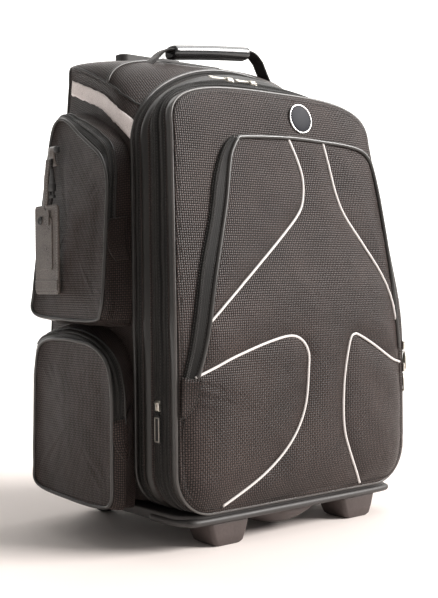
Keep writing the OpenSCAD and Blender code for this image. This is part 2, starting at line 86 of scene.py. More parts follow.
def spline(keys, n, closed=False):
    """Catmull-Rom through the keys, resampled evenly."""
    k = np.asarray(keys, float)
    m = len(k)
    out = []
    for i in range(m if closed else m - 1):
        if closed:
            a, b, c, d = k[(i - 1) % m], k[i], k[(i + 1) % m], k[(i + 2) % m]
        else:
            a, b, c, d = k[max(i - 1, 0)], k[i], k[i + 1], k[min(i + 2, m - 1)]
        t = np.linspace(0, 1, 13)[:-1, None]
        out.append(.5 * (2 * b + (c - a) * t + (2 * a - 5 * b + 4 * c - d) * t ** 2
                         + (3 * b - 3 * c + d - a) * t ** 3))
    out = np.vstack(out + ([] if closed else [k[-1:]]))
    return resample(out, n, closed)


NB, NC, NS, NT = 12, 10, 52, 54
HALF = NB + NC + NS + NT


def outline(base, r, zs, top, n, inset=0.0):
    """Closed outline in x and z: bottom, corner, leaning side and a superelliptic top."""
    zb, r = base + inset, max(r - inset, 2)
    xb = half(zb) - inset
    a = np.radians(np.linspace(-90, 0, NC + 1))
    bottom = np.stack([np.linspace(0, xb - r, NB + 1)[:-1], np.full(NB, zb)], 1)
    corner = np.stack([xb - r + r * np.cos(a), zb + r + r * np.sin(a)], 1)[:-1]
    z = np.linspace(zb + r, zs, NS + 1)[:-1]
    side = np.stack([half(z) - inset, z], 1)
    t = np.linspace(0, math.pi / 2, 400)
    xs, rise = half(zs) - inset, top - inset - zs
    arc = np.stack([xs * np.cos(t) ** (2 / n), zs + rise * np.sin(t) ** (2 / n)], 1)
    arc = resample(arc, NT + 1)[:-1]
    right = np.vstack([bottom, corner, side, arc])
    top_pt = np.array([[0, top - inset]])
    left = right[:0:-1] * [-1, 1]
    return np.vstack([right, top_pt, left])


PANEL = dict(base=40, r=48, zs=466, top=519, n=3.2)
RIM = dict(base=40, r=46, zs=447, top=557, n=2.0)


def ring_line(w, inset=0.0):
    """Section outline between the front panel's edge, w 0, and the rim, w 1."""
    k = {p: PANEL[p] * (1 - w) + RIM[p] * w for p in PANEL}
    k['n'] = 3.2 + (2.0 - 3.2) * min(1, w * 1.5)
    return outline(inset=inset, **k)


def body_line(v, inset=0.0):
    """Section outline from the rim, v 0, to the back, v 1."""
    kv = [0, .167, .357, .632, .92, 1]
    zs = np.interp(v, kv, [447, 475, 500, 525, 543, 547])
    n = np.interp(v, kv, [2, 3, 4, 6, 8.5, 9])
    top = 557 + 17 * (1 - (1 - v) ** 3)
    base = 40 - 2 * min(1, v * 6)
    return outline(base, 46 - 14 * v, zs, top, n, inset)


def place(xz, depth, rear=None, v=0.0):
    """Puts an outline on a leaning plane, blended towards a flat rear plane."""
    y = (depth + lean(xz[:, 1])) * (1 - v) + (rear if rear is not None else 0) * v
    return np.stack([xz[:, 0], y + FRONT, xz[:, 1]], 1)


def wobble(p, size, amount, seed=0.0):
    """Slow uneven bulging of cloth: one number for each point."""
    return np.array([noise.noise(Vector((x / size + seed, y / size - seed, z / size))) for x, y,
                     z in p]) * amount


# ---- Meshes --------------------------------------------------------------------------------------

def face_out(me, slot):
    """Turns every face outward, or inward where the surface is a lining."""
    bm = bmesh.new()
    bm.from_mesh(me)
    bmesh.ops.recalc_face_normals(bm, faces=bm.faces)
    if any(e.is_boundary for e in bm.edges):
        c = Vector((0, 0, .3))
        total = sum(f.normal.dot(f.verts[0].co - c) * f.calc_area() for f in bm.faces)
        if (total < 0) != (slot == 'lining'):
            bmesh.ops.reverse_faces(bm, faces=bm.faces)
    bm.to_mesh(me)
    bm.free()


def make(name, verts, faces, mat, body, slot, uv=None, smooth=True, mats=None, face_mat=None):
    me = bpy.data.meshes.new(name)
    me.from_pydata((np.asarray(verts, float) * .001).tolist(), [],
                   [tuple(int(i) for i in f) for f in faces])
    me.materials.append(mat)
    for m in mats or []:
        me.materials.append(m)
    if face_mat is not None:
        me.polygons.foreach_set('material_index', np.asarray(face_mat, np.int32))
    if smooth:
        me.polygons.foreach_set('use_smooth', [True] * len(me.polygons))
    layer = me.uv_layers.new(name='UVMap')
    li = np.empty(len(me.loops), np.int32)
    me.loops.foreach_get('vertex_index', li)
    if uv is None:
        v = np.asarray(verts, float)
        uv = v[:, [0, 2]]
    layer.data.foreach_set('uv', (np.asarray(uv, float)[li] * .01).astype(np.float32).ravel())
    me.update()
    me.validate()
    face_out(me, slot)
    ob = bpy.data.objects.new(name, me)
    bpy.context.scene.collection.objects.link(ob)
    if body:
        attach(ob, body)
    return ob


def loft(rows, wrap=True):
    """Faces for a grid of rows of points, closed round each row if wrap."""
    rows = [np.asarray(r, float) for r in rows]
    n = len(rows[0])
    verts = np.vstack(rows)
    faces = []
    for i in range(len(rows) - 1):
        for j in range(n if wrap else n - 1):
            a, b = i * n + j, i * n + (j + 1) % n
            faces.append((a, b, b + n, a + n))
    return verts, faces


def thicken(ob, mm, offset=-1.0):
    """Gives a sheet its thickness."""
    mod = ob.modifiers.new('thick', 'SOLIDIFY')
    mod.thickness = mm * .001
    mod.offset = offset
    return ob


def grid_normals(rows, wrap=True):
    """Outward normals of lofted rows, from central differences."""
    g = np.stack(rows)
    du = (np.roll(g, -1, 1) - np.roll(g, 1, 1)) if wrap else np.gradient(g, axis=1)
    dv = np.gradient(g, axis=0)
    n = np.cross(dv, du)
    ln = np.linalg.norm(n, axis=2, keepdims=True)
    return n / np.maximum(ln, 1e-9)


def arc_uv(rows):
    g = np.stack(rows)
    mid = g[len(g) // 2]
    su = np.concatenate([[0], np.cumsum(np.linalg.norm(np.diff(mid, axis=0), axis=1))])
    sv = np.concatenate([[0], np.cumsum(np.linalg.norm(np.diff(g[:, g.shape[1] // 4], axis=0), axis=1))])
    uv = np.zeros(g.shape[:2] + (2,))
    uv[..., 0] = su[None, :]
    uv[..., 1] = sv[:, None]
    return uv.reshape(-1, 2)


def frames(path, closed=False, up=None):
    p = np.asarray(path, float)
    if closed:
        t = np.roll(p, -1, 0) - np.roll(p, 1, 0)
    else:
        t = np.gradient(p, axis=0)
    t /= np.maximum(np.linalg.norm(t, axis=1, keepdims=True), 1e-9)
    if up is None:
        n = np.zeros_like(p)
        v = np.array([0, 0, 1.0]) if abs(t[0][2]) < .9 else np.array([0, 1.0, 0])
        v = v - t[0] * v.dot(t[0])
        n[0] = v / np.linalg.norm(v)
        for i in range(1, len(p)):
            v = n[i - 1] - t[i] * n[i - 1].dot(t[i])
            n[i] = v / np.linalg.norm(v)
    else:
        n = np.asarray(up, float) * np.ones_like(p)
        n = n - t * (n * t).sum(1, keepdims=True)
        n /= np.maximum(np.linalg.norm(n, axis=1, keepdims=True), 1e-9)
    return t, n, np.cross(t, n)


def tube(name, path, r, mat, body, slot, closed=False, sides=10, flat=1.0, up=None, caps=True):
    """A rounded cord along a path; flat squeezes it along its up direction."""
    p = np.asarray(path, float)
    t, n, b = frames(p, closed, up)
    rr = np.ones(len(p)) * r
    a = np.linspace(0, 2 * math.pi, sides, endpoint=False)
    across = np.cos(a)[None, :, None] * b[:, None]
    upward = flat * np.sin(a)[None, :, None] * n[:, None]
    g = p[:, None] + rr[:, None, None] * (across + upward)
    verts = g.reshape(-1, 3)
    m = len(p)
    faces = []
    for i in range(m if closed else m - 1):
        for j in range(sides):
            c, d = (i + 1) % m, (j + 1) % sides
            faces.append((i * sides + j, i * sides + d, c * sides + d, c * sides + j))
    s = np.concatenate([[0], np.cumsum(np.linalg.norm(np.diff(p, axis=0), axis=1))])
    uv = np.stack([np.tile(a * r, m), np.repeat(s, sides)], 1)
    if caps and not closed:
        faces += [tuple(range(sides))[::-1], tuple((m - 1) * sides + j for j in range(sides))]
    return make(name, verts, faces, mat, body, slot, uv)


def swarm(name, template, tfaces, origin, t, n, b, mat, body, slot, smooth=True):
    """Copies a small shape, given along t, n and b, to every frame."""
    T = np.asarray(template, float)
    v = (origin[:, None] + T[None, :, 0:1] * t[:, None]
         + T[None, :, 1:2] * n[:, None] + T[None, :, 2:3] * b[:, None])
    k = len(T)
    f = np.asarray([list(x) + [-1] * (4 - len(x)) for x in tfaces])
    faces = []
    for i in range(len(origin)):
        for q in f:
            faces.append(tuple(int(x) + i * k for x in q if x >= 0))
    return make(name, v.reshape(-1, 3), faces, mat, body, slot, v.reshape(-1, 3)[:, [0, 2]], smooth)


def pill(lx, ly, lz):
    """Low-poly rounded lump with half-sizes along t, n and b, its base at the surface."""
    v, f = [], []
    for k, s in ((0, 1.0), (.62, .92), (1.0, .5)):
        for a in range(8):
            c = math.radians(a * 45 + 22.5)
            v.append((lx * s * math.cos(c) * 1.08, ly * (2 * k - .25), lz * s * math.sin(c) * 1.08))
    for i in range(2):
        for j in range(8):
            f.append((i * 8 + j, i * 8 + (j + 1) % 8, (i + 1) * 8 + (j + 1) % 8, (i + 1) * 8 + j))
    f.append((16, 17, 18, 19))
    f.append((16, 19, 20, 23))
    f.append((20, 21, 22, 23))
    return np.array(v), f


def along(path, step, closed=False, up=None):
    """Even stations along a path: their points and frames."""
    p = np.asarray(path, float)
    ln = np.linalg.norm(np.diff(np.vstack([p, p[:1]]) if closed else p, axis=0), axis=1).sum()
    n = max(3, int(ln / step))
    u = None
    if up is not None:
        both = resample(np.hstack([p, up * np.ones_like(p)]), n, closed)
        q, u = both[:, :3], both[:, 3:]
        q = resample(p, n, closed)
    else:
        q = resample(p, n, closed)
    return (q,) + frames(q, closed, u)


def coil(name, path, up, body, closed=False, pitch=1.5, width=2.6, height=1.1):
    """Closed coil zipper: two rows of interlocked teeth."""
    q, t, n, b = along(path, pitch, closed, up)
    ln, lt = pill(pitch * .36, height / 2, width * .36)
    o = np.vstack([q + b * width * .27, q + t * pitch * .5 - b * width * .27])
    return swarm(name, ln, lt, o, np.vstack([t, t]), np.vstack([n, n]), np.vstack([b, b]), M['coil'], body,
                 'coil')


def stitches(name, path, up, body, mat=None, step=3.4, length=2.2, r=.34, closed=False, lift=.1):
    q, t, n, b = along(path, step, closed, up)
    v, f = pill(length / 2, r, r * 1.1)
    return swarm(name, v, f, q + n * lift, t, n, b, mat or M['thread'], body, 'nylon')


def box_mesh(lo, hi, bevel=1.0):
    """Rounded box as vertices and faces, by inflating a subdivided cube."""
    lo, hi = np.asarray(lo, float), np.asarray(hi, float)
    s = hi - lo
    r = np.minimum(bevel, s / 2 - 1e-3)
    lines = []
    for k in range(3):
        rk = r[k]
        a = [0, rk * .1, rk * .45, rk, s[k] - rk, s[k] - rk * .45, s[k] - rk * .1, s[k]]
        lines.append(np.array(a))
    verts, index, faces = [], {}, []

    def vert(i, j, k):
        key = (i, j, k)
        if key not in index:
            p = np.array([lines[0][i], lines[1][j], lines[2][k]])
            core = np.clip(p, r, s - r)
            d = (p - core) / r
            ln = np.linalg.norm(d)
            if ln > 1e-9:
                d = d / max(ln, 1e-9) * np.max(np.abs(d))
            index[key] = len(verts)
            verts.append(lo + core + d * r)
        return index[key]
    m = 7
    for a in range(m):
        for b in range(m):
            faces.append((vert(a, b, 0), vert(a, b + 1, 0), vert(a + 1, b + 1, 0), vert(a + 1, b, 0)))
            faces.append((vert(a, b, m), vert(a + 1, b, m), vert(a + 1, b + 1, m), vert(a, b + 1, m)))
            faces.append((vert(a, 0, b), vert(a + 1, 0, b), vert(a + 1, 0, b + 1), vert(a, 0, b + 1)))
            faces.append((vert(a, m, b), vert(a, m, b + 1), vert(a + 1, m, b + 1), vert(a + 1, m, b)))
            faces.append((vert(0, a, b), vert(0, a, b + 1), vert(0, a + 1, b + 1), vert(0, a + 1, b)))
            faces.append((vert(m, a, b), vert(m, a + 1, b), vert(m, a + 1, b + 1), vert(m, a, b + 1)))
    return np.array(verts), faces


# ---- Materials -----------------------------------------------------------------------------------

class Graph:
    """Short hand for building one procedural material."""

    def __init__(self, name, rough=.5, metal=0.0, spec=.5):
        self.m = bpy.data.materials.new(name)
        self.m.use_nodes = True
        self.t = self.m.node_tree
        self.b = self.t.nodes['Principled BSDF']
        self.b.inputs['Roughness'].default_value = rough
        self.b.inputs['Metallic'].default_value = metal
        self.b.inputs['Specular IOR Level'].default_value = spec

    def put(self, kind, **values):
        n = self.t.nodes.new(kind)
        for k, v in values.items():
            if k.startswith('_'):
                setattr(n, k[1:], v)
            else:
                self.feed(n.inputs[k.replace('__', ' ')], v)
        return n

    def feed(self, socket, v):
        if isinstance(v, bpy.types.NodeSocket):
            self.t.links.new(v, socket)
        else:
            socket.default_value = v

    def math(self, op, a, b=0.0, c=0.0):
        n = self.t.nodes.new('ShaderNodeMath')
        n.operation = op
        for i, v in enumerate((a, b, c)):
            self.feed(n.inputs[i], v)
        return n.outputs[0]

    def ramp(self, fac, stops):
        n = self.t.nodes.new('ShaderNodeValToRGB')
        self.feed(n.inputs[0], fac)
        e = n.color_ramp.elements
        while len(e) < len(stops):
            e.new(.5)
        for el, (pos, col) in zip(e, stops):
            el.position = pos
            el.color = col if len(col) == 4 else tuple(col) + (1,)
        return n.outputs[0]

    def noise(self, scale, detail=4.0, rough=.55, vec=None):
        n = self.put('ShaderNodeTexNoise', Scale=scale, Detail=detail, Roughness=rough)
        if vec is None:
            vec = self.put('ShaderNodeTexCoord').outputs['Object']
        self.t.links.new(vec, n.inputs['Vector'])
        return n.outputs['Fac']

    def bump(self, height, strength, distance, under=None):
        n = self.put('ShaderNodeBump', Height=height, Strength=strength, Distance=distance)
        if under is not None:
            self.t.links.new(under, n.inputs['Normal'])
        return n.outputs[0]

    def done(self, color=None, rough=None, normal=None):
        if color is not None:
            self.feed(self.b.inputs['Base Color'], color)
        if rough is not None:
            self.feed(self.b.inputs['Roughness'], rough)
        if normal is not None:
            self.feed(self.b.inputs['Normal'], normal)
        return self.m


def woven(name, dark, light, period=2.2, rough=.52, depth=.00028, sheen=.25, ratio=1.0, strength=.75):
    """Plain weave of round yarns, worn slightly unevenly, with painted shade in the gaps between yarns and
    painted highlight on the yarn crowns; coordinates are the cloth's own.
    """
    g = Graph(name, rough, spec=.22)
    uv = g.put('ShaderNodeUVMap').outputs[0]
    jit = g.put('ShaderNodeTexNoise', Scale=9.0, Detail=2.0)
    g.t.links.new(uv, jit.inputs['Vector'])
    mix = g.put('ShaderNodeVectorMath', _operation='MULTIPLY_ADD')
    g.t.links.new(jit.outputs['Color'], mix.inputs[0])
    mix.inputs[1].default_value = (.006, .006, 0)
    g.t.links.new(uv, mix.inputs[2])
    s = g.put('ShaderNodeSeparateXYZ')
    g.t.links.new(mix.outputs[0], s.inputs[0])
    u = g.math('MULTIPLY', s.outputs[0], 100 / period)
    v = g.math('MULTIPLY', s.outputs[1], 100 / period * ratio)
    su = g.math('ABSOLUTE', g.math('SINE', g.math('MULTIPLY', u, math.pi)))
    sv = g.math('ABSOLUTE', g.math('SINE', g.math('MULTIPLY', v, math.pi)))
    chk = g.math('MODULO', g.math('ADD', g.math('FLOOR', u), g.math('FLOOR', v)), 2.0)
    chk = g.math('ABSOLUTE', chk)
    warp = g.math('MULTIPLY', g.math('POWER', su, .6), g.math('MULTIPLY_ADD', sv, .5, .5))
    weft = g.math('MULTIPLY', g.math('POWER', sv, .6), g.math('MULTIPLY_ADD', su, .5, .5))
    h = g.math('ADD', g.math('MULTIPLY', warp, chk), g.math('MULTIPLY', weft, g.math('SUBTRACT', 1.0, chk)))
    wear = g.noise(14.0, 5.0, .6)
    fine = g.noise(900.0, 2.0, .6)
    # Colour follows the yarn height h: painted shade in the gaps between yarns, painted highlight on the
    # yarn crowns; wear and fine add random tone.
    tone = g.math('ADD', g.math('MULTIPLY', h, .72), g.math('MULTIPLY', chk, .1))
    tone = g.math('ADD', tone, g.math('MULTIPLY_ADD', wear, .36, -.14))
    tone = g.math('ADD', tone, g.math('MULTIPLY_ADD', fine, .22, -.11))
    # The darkest stop, a quarter of dark, is painted shade deep in the gaps between yarns.
    col = g.ramp(tone, [(0.0, tuple(c * .25 for c in dark)), (.46, dark), (.98, light)])
    rg = g.math('ADD', g.math('MULTIPLY_ADD', wear, .16, rough - .08), g.math('MULTIPLY', h, -.07))
    nor = g.bump(h, strength, depth)
    nor = g.bump(wear, .25, .0012, nor)
    g.b.inputs['Sheen Weight'].default_value = sheen
    g.b.inputs['Sheen Roughness'].default_value = .45
    g.b.inputs['Sheen Tint'].default_value = (.85, .74, .70, 1)
    return g.done(col, rg, nor)


def grained(name, dark, light, rough, scale, depth, metal=0.0, spec=.5, cells=False, wear=.35, coat=0.0):
    """Moulded, coated or leathery surface: fine grain, patchy polish and rubbed spots."""
    g = Graph(name, rough, metal, spec)
    patch = g.noise(22.0, 5.0, .6)
    if cells:
        co = g.put('ShaderNodeTexCoord').outputs['Object']
        vo = g.put('ShaderNodeTexVoronoi', Scale=scale, _feature='DISTANCE_TO_EDGE')
        g.t.links.new(co, vo.inputs['Vector'])
        grain = g.math('MINIMUM', g.math('MULTIPLY', vo.outputs['Distance'], 4.0), 1.0)
    else:
        grain = g.noise(scale, 3.0, .6)
    tone = g.math('ADD', g.math('MULTIPLY', grain, .4), g.math('MULTIPLY_ADD', patch, wear * 2, .3 - wear))
    col = g.ramp(tone, [(.05, dark), (.95, light)])
    rg = g.math('ADD', g.math('MULTIPLY_ADD', patch, .22, rough - .11), g.math('MULTIPLY', grain, .06))
    g.b.inputs['Coat Weight'].default_value = coat
    return g.done(col, rg, g.bump(grain, .5, depth))


def scratched(name, color, rough, scale=160.0, stretch=(1, 1, 30)):
    """Plated or brushed metal: fine lines and slight tarnish."""
    g = Graph(name, rough, 1.0)
    co = g.put('ShaderNodeTexCoord').outputs['Object']
    mp = g.put('ShaderNodeMapping')
    g.t.links.new(co, mp.inputs['Vector'])
    mp.inputs['Scale'].default_value = stretch
    lines = g.noise(scale, 3.0, .7, mp.outputs[0])
    tarnish = g.noise(60.0, 4.0, .6)
    tone = g.math('ADD', g.math('MULTIPLY', lines, .4), g.math('MULTIPLY', tarnish, .6))
    col = g.ramp(tone, [(.2, tuple(c * .55 for c in color)), (.6, color),
                        (.95, tuple(min(1, c * 1.15) for c in color))])
    rg = g.math('MULTIPLY_ADD', tone, .35, rough - .15)
    return g.done(col, rg, g.bump(lines, .2, .0001))


def reflective():
    g = Graph('reflective tape', .42, 0.0, .6)
    uv = g.put('ShaderNodeUVMap').outputs[0]
    vo = g.put('ShaderNodeTexVoronoi', Scale=62.0, _feature='DISTANCE_TO_EDGE')
    g.t.links.new(uv, vo.inputs['Vector'])
    cell = g.math('MINIMUM', g.math('MULTIPLY', vo.outputs['Distance'], 6.0), 1.0)
    patch = g.noise(40.0, 4.0)
    tone = g.math('ADD', g.math('MULTIPLY', cell, .4), g.math('MULTIPLY', patch, .6))
    col = g.ramp(tone, [(.1, (.50, .43, .41)), (.5, (.78, .70, .67)), (.9, (.90, .83, .80))])
    return g.done(col, g.math('MULTIPLY_ADD', patch, .25, .3), g.bump(cell, .4, .0002))


M = {}
M['nylon'] = woven('ballistic nylon', (.0050, .0034, .0029), (.104, .073, .064), period=2.7, depth=.0006,
                   sheen=.06, rough=.40, strength=.9)
M['tape'] = woven('zipper tape', (.005, .0048, .0045), (.034, .032, .029), period=1.3, depth=.00015,
                  sheen=.05, ratio=.6)
M['webbing'] = woven('webbing', (.008, .007, .0065), (.050, .044, .040), period=1.7, depth=.0003, ratio=.5,
                     sheen=.06)
M['lining'] = woven('lining', (.05, .05, .055), (.16, .16, .17), period=.7, depth=.00006, rough=.45,
                    sheen=.1)
M['foam'] = woven('foam cover', (.05, .05, .055), (.17, .17, .18), period=1.0, depth=.0001, sheen=.4)
M['binding'] = grained('coated binding', (.006, .0055, .005), (.036, .033, .030), .36, 700.0, .00012,
                       spec=.5)
M['piping'] = grained('coated piping', (.010, .0095, .009), (.060, .056, .052), .30, 600.0, .00008, spec=.5,
                      coat=.2)
M['white'] = grained('white piping', (.60, .56, .54), (.90, .87, .85), .34, 500.0, .00008, spec=.5, wear=.2)
M['silver_piping'] = grained('silver piping', (.030, .028, .026), (.125, .116, .110), .30, 500.0, .00008,
                             spec=.5, wear=.3, coat=.15)
M['coil'] = grained('coil', (.006, .006, .0055), (.050, .047, .043), .34, 900.0, .00005, spec=.5)
M['thread'] = grained('thread', (.015, .014, .013), (.07, .064, .06), .6, 2500.0, .00006)
M['pale_thread'] = grained('pale thread', (.18, .17, .165), (.36, .34, .33), .6, 2500.0, .00006)
M['plastic'] = grained('moulded plastic', (.022, .020, .019), (.062, .058, .056), .48, 420.0, .00025)
M['base'] = grained('base plastic', (.028, .021, .019), (.110, .086, .081), .50, 260.0, .0004, spec=.45)
M['grip'] = grained('grip', (.006, .006, .006), (.030, .030, .031), .16, 300.0, .00006, spec=.6, coat=.5)
M['button'] = grained('button', (.12, .12, .12), (.24, .24, .24), .5, 420.0, .0002)
M['rubber'] = grained('tyre rubber', (.010, .010, .010), (.045, .044, .043), .62, 500.0, .0003, spec=.3)
M['hub'] = grained('hub', (.07, .07, .072), (.19, .19, .195), .45, 300.0, .0002)
M['leather'] = grained('leather', (.030, .025, .022), (.190, .160, .140), .30, 420.0, .00022, cells=True,
                       spec=.5, coat=.15)
M['zinc'] = scratched('plated zinc', (.74, .70, .63), .30)
M['steel'] = scratched('steel', (.60, .60, .61), .32)
M['alloy'] = scratched('anodised alloy', (.50, .51, .53), .36, stretch=(30, 30, 1))
M['badge'] = grained('badge enamel', (.004, .005, .008), (.016, .018, .026), .5, 200.0, .00004, spec=.2)
M['silver'] = scratched('badge ring', (.78, .77, .76), .24)
M['pull'] = grained('pull', (.008, .008, .008), (.045, .044, .043), .35, 500.0, .0002)
M['tape_silver'] = reflective()

# ---- Main body -----------------------------------------------------------------------------------

VROWS = [0, .012, .03, .06, .1, .15, .2, .26, .32, .357, .4, .46, .52, .58, .64, .7, .76, .82, .87, .91,
         .945, .97]


def body_rows(inset=0.0, rear=258.0, rows=VROWS):
    out = []
    for v in rows:
        xz = body_line(min(1, v * 1.02), inset)
        y = (78 + lean(xz[:, 1])) * (1 - v) + rear * v
        out.append(np.stack([xz[:, 0], y + FRONT, xz[:, 1]], 1))
    return out


def puff(rows, amount, size, seed, sag=0.0):
    """Moves each row's points along the surface normal by slow noise."""
    n = grid_normals(rows)
    out = []
    for r, m in zip(rows, n):
        out.append(r + m * (wobble(r, size, amount, seed) + sag)[:, None])
    return out


def back_rows(last, rear, r):
    """Rounds the last section over its rear edge and closes it with a padded back."""
    rows = []
    c = np.array([0, 300.0])
    for a in np.radians([22, 45, 68, 90]):
        k = r * (1 - math.cos(a))
        xz = last[:, [0, 2]]
        d = xz - c
        ln = np.linalg.norm(d, axis=1, keepdims=True)
        q = c + d * (1 - k / ln)
        rows.append(np.stack([q[:, 0], np.full(len(q), rear + FRONT - r + r * math.sin(a)), q[:, 1]], 1))
    edge = rows[-1]
    for s in (.965, .93, .88, .82, .74, .64, .52, .4, .28, .16, .05):
        q = c + (edge[:, [0, 2]] - c) * s
        bulge = .8 * (1 - s) ** .5
        rows.append(np.stack([q[:, 0], edge[:, 1] + bulge - (.9 if s > .95 else 0), q[:, 1]], 1))
    return rows


outer = body_rows()
outer = [outer[0]] + puff(outer, 1.3, 55, 3.1)[1:]
N_U = len(outer[0])
sections = outer + back_rows(outer[-1], 264, 6)
verts, faces = loft(sections)
faces.append(tuple(range(len(verts) - N_U, len(verts))))


def cut_for_wheels(verts, faces):
    keep = []
    for f in faces:
        c = verts[list(f)].mean(0)
        if 88 < abs(c[0]) < 136 and c[1] > 76 and c[2] < 70:
            continue
        keep.append(f)
    return keep


uv = arc_uv(sections)
is_back = verts[:, 1] > 135.2       # the back panel's cloth runs straight, in mm from the origin
uv[is_back] = verts[is_back][:, [0, 2]]
shell = make('body_shell', verts, cut_for_wheels(verts, faces), M['nylon'], 'bag_body', 'nylon', uv)

inner = body_rows(4.0, 255.0, VROWS[1:])
inner_all = [place(ring_line(1.0, 4.0), 78.0)] + inner + back_rows(inner[-1], 259, 4)
iv, ifc = loft([outer[0]] + inner_all)
ifc = cut_for_wheels(iv, ifc)
ifc.append(tuple(range(len(iv) - N_U, len(iv)))[::-1])
make('body_lining', iv, ifc, M['lining'], 'bag_body', 'lining', arc_uv([outer[0]] + inner_all))
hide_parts('main_shell')

rows_n = grid_normals(outer)


def on_body(y, z=None, x=None, lift=0.0, side=-1):
    """Point on the shell's left or right side at a depth and height, or on top at a depth and an x."""
    best, bi = None, None
    lo, hi = (NB + NC, HALF + 1) if side > 0 else (HALF, len(outer[0]) - NB - NC)
    for i in range(lo, hi):
        for r in range(len(outer) - 1):
            p = outer[r][i % N_U]
            d = abs(p[1] - y) * 1.0 + (abs(p[2] - z) if z is not None else abs(p[0] - x))
            if best is None or d < best:
                best, bi = d, (r, i % N_U)
    r, i = bi
    # Nearest point within the four faces round that vertex.
    P = np.array([y, z if z is not None else x])
    pick = (lambda q: np.array([q[1], q[2] if z is not None else q[0]]))
    best_p, best_d, best_n = None, 1e9, None
    for r2 in (r - 1, r):
        for i2 in (i - 1, i):
            if r2 < 0 or r2 + 1 >= len(outer):
                continue
            i3, i4 = i2 % N_U, (i2 + 1) % N_U
            a, b, c, d = outer[r2][i3], outer[r2][i4], outer[r2 + 1][i3], outer[r2 + 1][i4]
            for s in np.linspace(0, 1, 6):
                for t in np.linspace(0, 1, 6):
                    q = (a * (1 - s) + b * s) * (1 - t) + (c * (1 - s) + d * s) * t
                    e = np.linalg.norm(pick(q) - P)
                    if e < best_d:
                        best_d, best_p, best_n = e, q, rows_n[r2][i2 % N_U]
    return best_p + best_n * lift, best_n


# Piping round the rim of the body, and the one that crosses the top behind the shoulders.
rim = outer[0]
tube('rim_piping_cord', rim + rows_n[0] * .6 + np.array([0, -.4, 0]), 2.3, M['piping'], 'bag_body',
     'piping', closed=True)
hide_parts('rim_piping')
r3 = VROWS.index(.357)
back = sections[len(outer) + 1]
tube('back_binding', back + np.array([0, .6, 0]), 1.7, M['binding'], 'bag_body', 'piping', closed=True)
line = back * [.955, 1, 1] + (back - [0, 0, 300]) * [0, 0, -.03]
line[:, 1] = 136.4
stitches('back_stitches', line, np.array([0, 1.0, 0]), 'bag_body', closed=True)
for x in (-86, -54, 54, 86):
    z = np.linspace(62, 548, 60)
    line = np.stack([np.full(60, float(x)), np.full(60, 136.9), z], 1)
    stitches('back_channel_stitches_%d' % (x + 90), line, np.array([0, 1.0, 0]), 'bag_body')
span = [i for i in range(NB + NC + NS // 2 + 8, N_U - (NB + NC + NS // 2) - 7) if outer[r3][i][2] > 532]
tube('top_piping_cord', outer[r3][span] + rows_n[r3][span] * .5, 1.9, M['piping'], 'bag_body', 'piping')

# Seam along each side's top edge, and the reflective band below it.
for side, tag in ((-1, 'left'), (1, 'right')):
    keys = [(111 + 3, 499), (128, 508), (144, 519), (173, 535), (213, 553), (253, 567)]
    pts, nrm = zip(*[on_body(y + FRONT, z, side=side) for y, z in spline(keys, 26)])
    pts, nrm = np.array(pts), np.array(nrm)
    tube('side_seam_' + tag, pts + nrm * .2, 1.3, M['binding'], 'bag_body', 'nylon')
    stitches('side_seam_stitches_' + tag, pts + nrm * .3 + np.array([0, 1.5, -4.0]), nrm, 'bag_body')
    keys = [(109, 468), (128, 481), (150, 495), (180, 513), (210, 524.5), (225, 530), (240, 535.5),
            (257, 541)]
    path = spline(keys, 34)
    tan = np.gradient(path, axis=0)
    tan /= np.linalg.norm(tan, axis=1, keepdims=True)
    nor2 = np.stack([-tan[:, 1], tan[:, 0]], 1)
    rows_t = []
    for k in np.linspace(-8.8, 8.8, 7):
        pn = [on_body(p[0] + FRONT, p[1], side=side) for p in path + nor2 * k]
        rows_t.append(np.array([p + n * (.55 + (.25 if abs(k) < 8 else 0)) for p, n in pn]))
    tv, tf = loft(rows_t, wrap=False)
    n_path = len(path)
    tuv = np.stack([np.tile(np.linspace(0, 160, n_path), 7), np.repeat(np.linspace(0, 17.6, 7), n_path)], 1)
    band = make('reflective_band_' + tag, tv, tf, M['tape_silver'], 'bag_body', 'nylon', tuv)
    thicken(band, .6, 1.0)

# ---- Front section: the zipped ring --------------------------------------------------------------

def ring_offset(d):
    """Height of the stack's layers above the ring's own surface, at each depth from the front, in mm."""
    o = np.zeros_like(d)

    def lump(c, w, h, p=2.0):
        return h * np.clip(1 - np.abs((d - c) / (w / 2)) ** p, 0, 1)
    o += lump(19.0, 11.0, .9, 6)
    o += lump(34.0, 15.0, 1.5, 6)
    o += lump(54.5, 13.0, 3.4, 2.2)
    o += lump(69.0, 12.0, 1.3, 6)
    o -= lump(26.0, 3.4, 1.8)
    o -= lump(44.6, 4.0, 2.0)
    o -= lump(62.0, 2.6, 1.0)
    return o


depths = np.array([12.4, 13, 13.6, 14.4, 16, 18, 20, 22, 23.6, 24.6, 25.4, 26.2, 26.8, 27.4, 28.4, 30, 32,
                   34, 36, 38, 40, 41.4, 42.4, 43.2, 44,
                   44.8, 45.6, 46.6, 47.6, 48.8, 50.4, 52.4, 54.5, 56.6, 58.6, 60.2, 61.2, 62, 62.8, 63.4,
                   64.2, 66, 68, 70, 72, 73.8, 74.8, 75.6, 76.6])


def ring_row(d, inset=0.0):
    w = float(np.clip((d - 8) / 69, 0, 1))
    xz = ring_line(w, inset)
    return place(xz, d)


